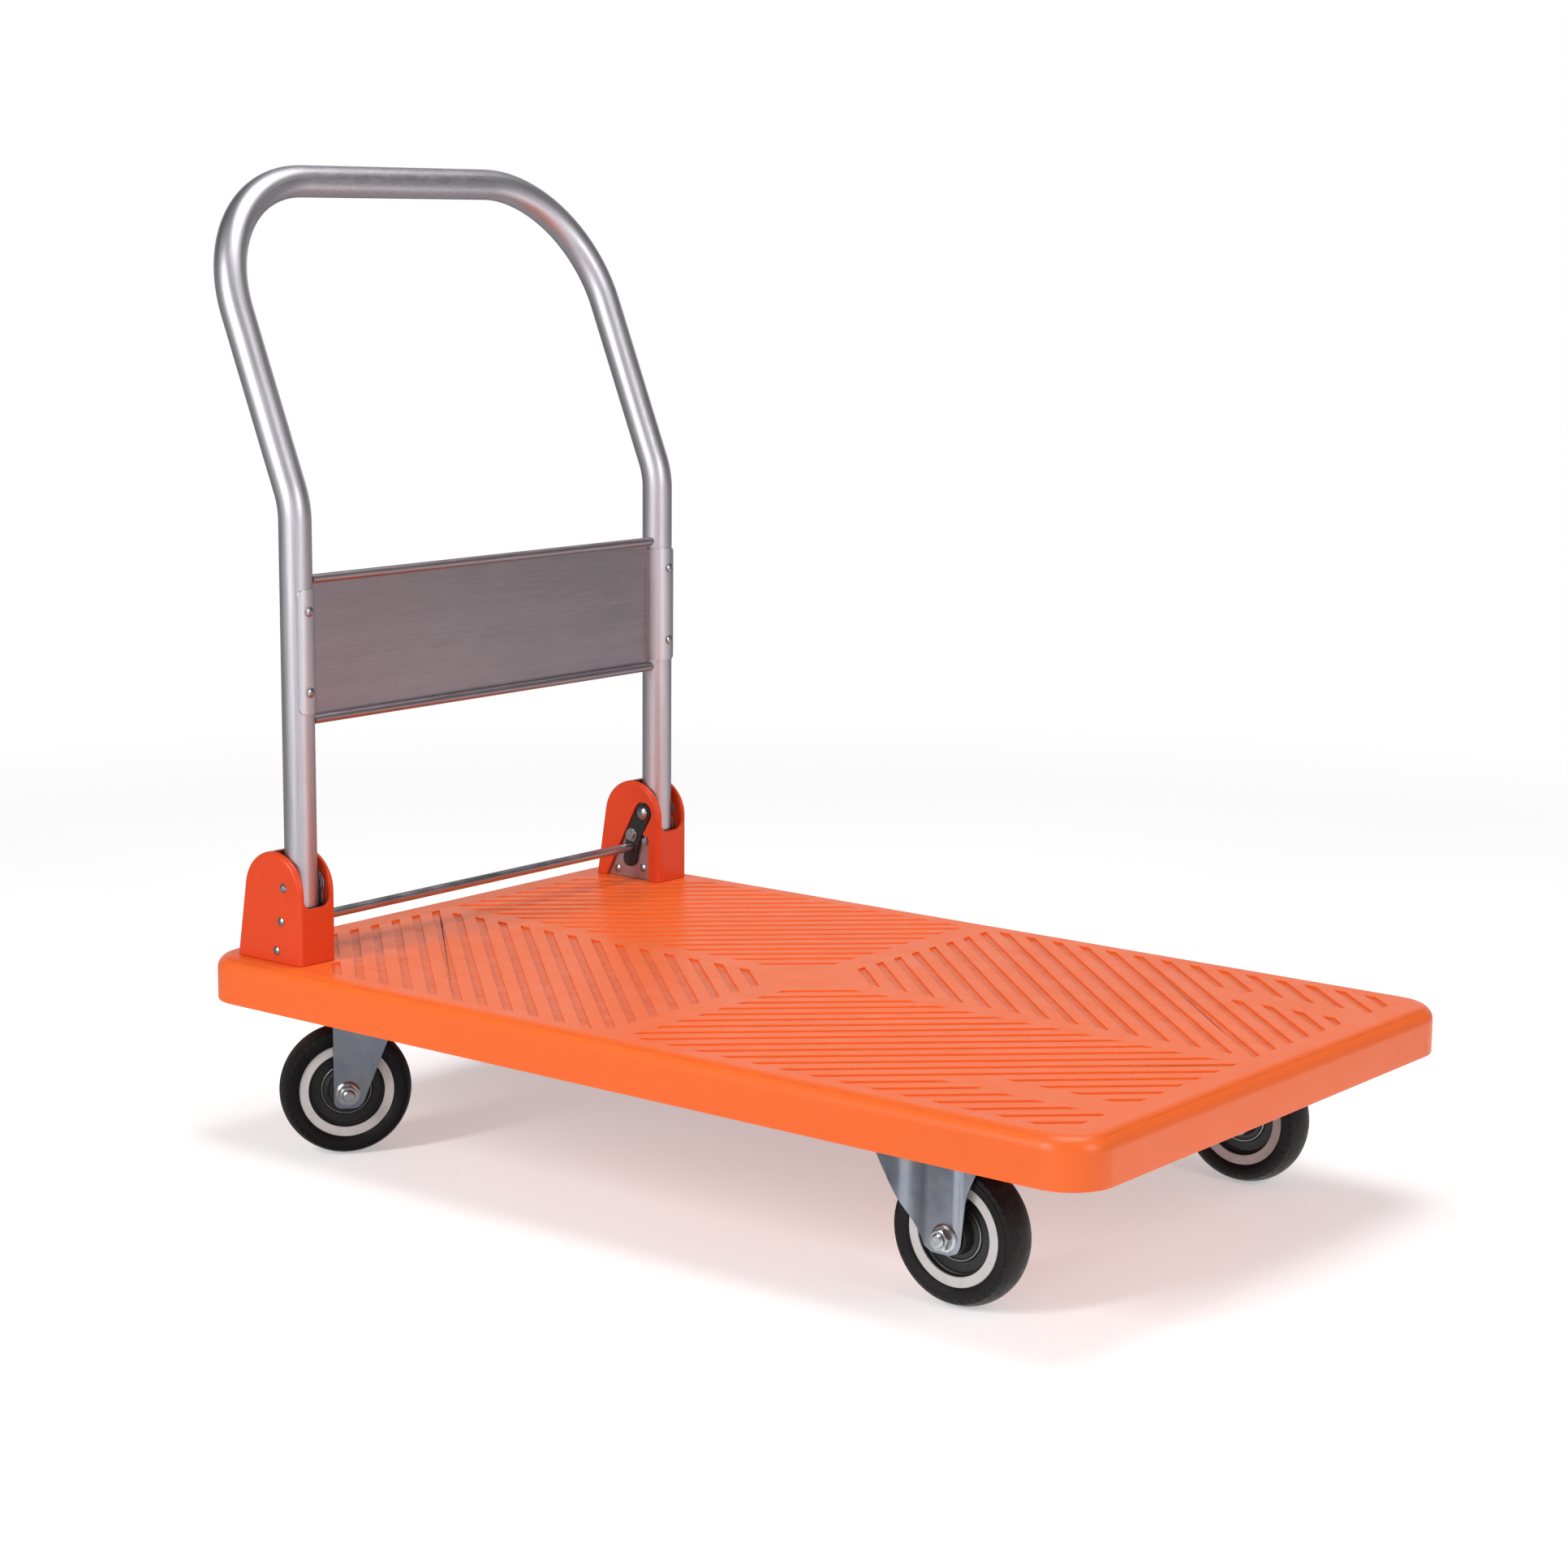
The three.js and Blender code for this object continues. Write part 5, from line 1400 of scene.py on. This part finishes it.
def fork_legs(side, folds, sheet, outer):
    """The near leg from its outline and folds, and the far leg as its mirror image."""
    leg = drawn("leg", stood(side, -outer))
    bpy.ops.mesh.edge_face_add()
    pressed(leg, folds)
    edit(leg)
    face_out()
    facing = 1 if sum(face.normal.y * face.area for face in leg.data.polygons) < 0 else -1
    modify(leg, "SOLIDIFY", thickness=sheet, offset=-facing, use_even_offset=True)
    edit(leg)
    tidy()
    soften(leg, 0.0006, 2, 60)
    return leg, mirrored(leg, "far_leg")


class BuildForks(bpy.types.Operator):
    """Presses the rigid forks at the front, and the swivel forks, plates, races and kingpins at the rear"""

    bl_idname = "cart.build_forks"
    bl_label = "Caster forks"

    def execute(self, context):
        size = context.scene.cart_caster
        sheet, trail = size.sheet, size.trail
        outer = size.inner + sheet
        low = size.plate_top - size.plate - AXLES["front_left"].z
        crown = size.crown - AXLES["rear_left"].z
        front, rear = ({seat: place for seat, place in AXLE_SEATS.items() if (seat in KINGPINS) == swivels}
                       for swivels in (False, True))
        zinc = {"finish": "zinc_plate", "slot": "zinc_steel", "below": 25}
        top = low + 0.0015
        side = [(-0.075, top, 0), *mm((-75, 62, 8), (-60, 37, 20), (-22, -10.5, 6), (-13, -15, 6), (5, -15, 8),
                                      (12.5, -12, 4), (15, -5, 6), (19, 39, 30), (29.5, 62, 8)), (0.0295, top, 0)]
        folds = mm((-60, 0.8), (-51, 0), (-47, 0.5), (-43, 1.8), (-39, 3.1), (-35, 3.6), (-30, 3.6), (-26.5, 2.8),
                   (-23, 1), (-20.5, 0), (-17.5, 0), (8, 0), (10.5, 1), (13, 2.2), (16.5, 3), (24, 3.6))
        legs = fork_legs(eased(side), folds, sheet, outer)
        fork = mounting_plate(size, -size.plate_back)
        unite(fork, *legs)
        carve(fork, drill(AXLE_HOLE, -FAR, FAR))
        share_out(fork, "rigid_fork", "fork", seats=front, **zinc)

        side = eased([(-0.014, crown, 0), (-0.014, -0.015, 0.008), (0.0135, -0.015, 0.012),
                      (0.048, crown - 0.003, 0.004), (0.048, crown, 0)], 6)
        folds = mm((9.5, 0), (12, 1), (14.5, 2.2), (18, 3), (24, 3.4), (48, 3.6))
        legs = fork_legs(side, folds, sheet, outer)
        pin, spread = X * trail, math.radians(64)
        shape = [(-0.014, -outer), *arc(pin, size.crown_radius, -spread, spread, 20), (-0.014, outer)]
        fork = slab("swivel_fork", shape, crown - sheet, Z * sheet, "XY")
        cup = raised(mm((0, -1), (26.2, -1), (25.6, 0), (24.4, 1), (23.6, 5.5), (22.6, 6.8), (0, 7)), crown)
        unite(fork, *legs, turned("cup", cup, 48, pin, Z))
        carve(fork, drill(AXLE_HOLE, -FAR, FAR), drill(AXLE_HOLE, crown - 0.01, crown + 0.01, pin, Z))
        share_out(fork, "swivel_fork", "fork", seats=rear, **zinc)

        plate = mounting_plate(size, 0)
        cup = raised(mm((0, 1), (29, 1), (29, -1.6), (28.4, -2.6), (27.2, -7.6)), low)
        cup += raised(mm((26.2, 10), (0, 10)), crown)
        unite(plate, turned("race_cup", cup, 48, ORIGIN, Z))
        carve(plate, drill(AXLE_HOLE, crown + 0.005, low + 0.01, ORIGIN, Z))
        race = raised(mm((12.3, 7.3), (20.6, 7.3), (21, 8.5), (20.6, 9.7), (12.3, 9.7)), crown)
        race = ring("race", race, 48, ORIGIN, Z)
        seat = crown - sheet - GAP
        profile = raised(mm((0, -6), (7.2, -6), (7.8, -5.2), (7.8, -1.4), (9.8, -1.4), (10, -1), (10, -0.2),
                            (9.8, 0), (6, 0)), seat)
        kingpin = turned("kingpin", profile + mm((6, 94.4), (0, 94.4)), 40, ORIGIN, Z)
        unite(kingpin, prism(6, 0.0094, seat - 0.0052, seat - 0.0012, ORIGIN, Z))
        share_out(plate, "swivel_plate", "plate", chassis, PIN_SEATS, **zinc)
        share_out(race, "race_ring", "ball_race", fork_body, PIN_SEATS)
        share_out(kingpin, "kingpin_bolt", "kingpin", chassis, PIN_SEATS)
        return {"FINISHED"}


class BuildAxles(bpy.types.Operator):
    """Makes the axle bolts with their heads, the flanged nuts and the sleeves in the hubs"""

    bl_idname = "cart.build_axles"
    bl_label = "Axles"

    def execute(self, context):
        size = context.scene.cart_caster
        seat = size.inner + size.sheet + GAP
        start, end, turns = seat + 0.0092, seat + 0.012, 3
        pitch = (end - 0.0008 - start) / turns
        profile = [(0, -seat - 0.001), (0.006, -seat - 0.001), (0.006, seat + 0.0085)]
        for i in range(turns):
            profile += [(0.0058, start + pitch * i), (0.0053, start + pitch * (i + 0.5))]
        bolt = turned("bolt", profile + [(0.0056, end - 0.0008), (0.0046, end), (0, end)], 36)
        unite(bolt, turned_over(hex_head(0.010, seat, seat + 0.007, 0.35, 0.13)))
        share_out(turned_over(bolt), "axle_screw", "axle_bolt")

        nut = hex_head(0.010, seat + 0.0006, seat + 0.009, 0.2, 0.17)
        skirt = raised(mm((0, 0), (12.3, 0), (12.5, 0.4), (12.2, 1), (10.4, 2.4), (0, 2.6)), seat)
        unite(nut, turned("skirt", skirt))
        carve(nut, prism(28, AXLE_HOLE, seat - 0.001, seat + 0.010))
        share_out(turned_over(nut), "flange_nut", "axle_nut")

        half = size.inner - GAP
        sleeve = ring("sleeve", [
            (AXLE_HOLE, -half), (0.0085, -half), (0.0088, 0.0003 - half), (0.0088, half - 0.0003), (0.0085, half),
            (AXLE_HOLE, half)], 40)
        share_out(sleeve, "spacer_sleeve", "axle_sleeve", slot="zinc_steel")
        return {"FINISHED"}


# ------------------------------------------------------------ stage
# The studio is darker on one side of a direction, which shows in what the metal mirrors: the brightness at the
# dark and the bright side, and the limits between which the near floor grows brighter along the cart.
SIGHT = (0.62, -0.785, 0)
MIRRORED = (0.20, 0.68)
SWEEP = (0.18, 0.34, 0.42, 1.50)
# The floor turns white between these distances from the middle.
WHITE, NEAR, AWAY = (1, 1, 1), 0.9, 2.8


def stage_white():
    """A matt floor that keeps the cart's shadow near it, and turns into an even white further off."""
    bench = Finish("stage_white", roughness=1.0, specular_ior_level=0.0, emission_color=WHITE)
    away = bench.measure("LENGTH", bench.place)
    far = bench.ramp(away, NEAR, AWAY)
    sight = bench.node("LightPath").outputs
    glossy = sight["Is Glossy Ray"]
    bench.lead("Base Color", bench.mix(bench.maths("MAXIMUM", far, glossy), (0.84, 0.84, 0.84), (0, 0, 0)))
    side = bench.measure("DOT_PRODUCT", bench.place, SIGHT)
    distant = bench.maths("MULTIPLY", far, bench.ramp(side, -0.6, 2.2, *MIRRORED))
    close = bench.maths("MULTIPLY", bench.maths("SUBTRACT", 1.0, far), bench.ramp(bench.coordinate("X"), *SWEEP))
    mirrored_light = bench.maths("MULTIPLY", glossy, bench.maths("ADD", distant, close))
    seen = bench.maths("MAXIMUM", sight["Is Camera Ray"], sight["Is Transmission Ray"])
    plain = bench.maths("MULTIPLY", seen, bench.ramp(away, NEAR, AWAY, 0.38, 1.0))
    bench.lead("Emission Strength", bench.maths("ADD", mirrored_light, plain))
    return bench.material


def studio():
    """A white backdrop all round, under a darker ceiling."""
    world = bpy.data.worlds.new("studio")
    bench = Bench(world)
    direction = bench.node("TexCoord").outputs["Generated"]
    sight = bench.node("LightPath").outputs
    height = bench.node("SeparateXYZ", {0: direction}).outputs["Z"]
    side = bench.measure("DOT_PRODUCT", direction, SIGHT)
    behind = bench.ramp(side, -0.85, -0.65, 0.85, 0.0)
    sectors = bench.maths("MAXIMUM", bench.ramp(side, 0.0, 0.8, *MIRRORED), behind)
    share = bench.node("Mix", {0: sight["Is Glossy Ray"], 2: 1.0, 3: sectors}).outputs[0]
    level = bench.maths("MULTIPLY", bench.ramp(height, 0.16, 0.55, 1.0, 0.10), share)
    ground = bench.tree.nodes["Background"]
    bench.feed(ground.inputs["Strength"], bench.maths("MAXIMUM", level, sight["Is Camera Ray"]))
    bench.feed(ground.inputs["Color"], WHITE)
    return world


def lamp(name, place, target, size, power):
    rest()
    bpy.ops.object.light_add(type="AREA", location=place)
    light = bpy.context.object
    light.name = name
    light.rotation_euler = (Vector(target) - Vector(place)).to_track_quat("-Z", "Y").to_euler()
    light.data.shape = "RECTANGLE"
    light.data.size, light.data.size_y = size
    light.data.energy = power
    light.visible_camera = False


class BuildStage(bpy.types.Operator):
    """Lays the pale floor, sets the soft studio lights and stands the camera"""

    bl_idname = "cart.build_stage"
    bl_label = "Stage"

    def execute(self, context):
        rest()
        bpy.ops.mesh.primitive_plane_add(size=60, location=(0, 0, 0))
        floor = settle("stage_floor")
        floor.data.materials.append(stage_white())
        context.scene.world = studio()
        lamp("left_softbox", (-0.6, -3.0, 2.0), (0, 0, 0.4), (0.5, 1.7), 60)
        lamp("right_softbox", (3.2, -0.4, 2.0), (0, 0, 0.4), (0.5, 1.6), 31)
        lamp("left_strip", (0.1, -2.9, 0.5), (0, 0, 0.5), (0.3, 1.7), 8)
        lamp("right_strip", (3.0, -0.5, 0.5), (0, 0, 0.5), (0.3, 1.7), 5)
        lamp("upper_softbox", (0.2, 0.4, 3.2), (0, 0, 0.2), (1.8, 1.8), 54)

        azimuth, rise, roll = math.radians(-51.65), math.radians(9.97), math.radians(0.48)
        ahead = -Vector((math.cos(azimuth) * math.cos(rise), math.sin(azimuth) * math.cos(rise), math.sin(rise)))
        side = Vector((-math.sin(azimuth), math.cos(azimuth), 0))
        over = side.cross(ahead)
        right = side * math.cos(roll) + over * math.sin(roll)
        up = over * math.cos(roll) - side * math.sin(roll)
        bpy.ops.object.camera_add(location=(1.8980, -2.4131, 0.9174))
        camera = context.object
        camera.name = "view"
        camera.rotation_euler = Matrix((right, up, -ahead)).transposed().to_euler()
        camera.data.lens = 74.14
        camera.data.sensor_width = 36
        context.scene.camera = camera
        context.scene.view_settings.view_transform = "Standard"
        return {"FINISHED"}


# ------------------------------------------------------------ panel and registration
BUILDERS = (BuildStage, BuildDeck, BuildHandle, BuildPanel, BuildHousings, BuildBrackets, BuildLocks, BuildWheels,
            BuildForks, BuildAxles)
SETTINGS = {"cart_deck": DeckSettings, "cart_handle": HandleSettings, "cart_panel": PanelSettings,
            "cart_hinge": HingeSettings, "cart_wheel": WheelSettings, "cart_caster": CasterSettings}


class CART_PT_builder(bpy.types.Panel):
    """Sizes and colours of the cart, and the steps that build it"""

    bl_label = "Platform cart"
    bl_idname = "CART_PT_builder"
    bl_space_type = "VIEW_3D"
    bl_region_type = "UI"
    bl_category = "Cart"

    def draw(self, context):
        for key, group in SETTINGS.items():
            box = self.layout.box()
            box.label(text=group.__name__.replace("Settings", ""))
            for name in group.__annotations__:
                box.prop(getattr(context.scene, key), name)
        for builder in BUILDERS:
            self.layout.operator(builder.bl_idname)


def register():
    for group in SETTINGS.values():
        bpy.utils.register_class(group)
    for key, group in SETTINGS.items():
        setattr(bpy.types.Scene, key, bpy.props.PointerProperty(type=group))
    for part in (*BUILDERS, CART_PT_builder):
        bpy.utils.register_class(part)


def unregister():
    for part in (CART_PT_builder, *reversed(BUILDERS)):
        bpy.utils.unregister_class(part)
    for key, group in SETTINGS.items():
        delattr(bpy.types.Scene, key)
        bpy.utils.unregister_class(group)


def main():
    register()
    for builder in BUILDERS:
        getattr(bpy.ops.cart, builder.bl_idname.split(".")[1])()
    rest()


if __name__ == "__main__":
    main()
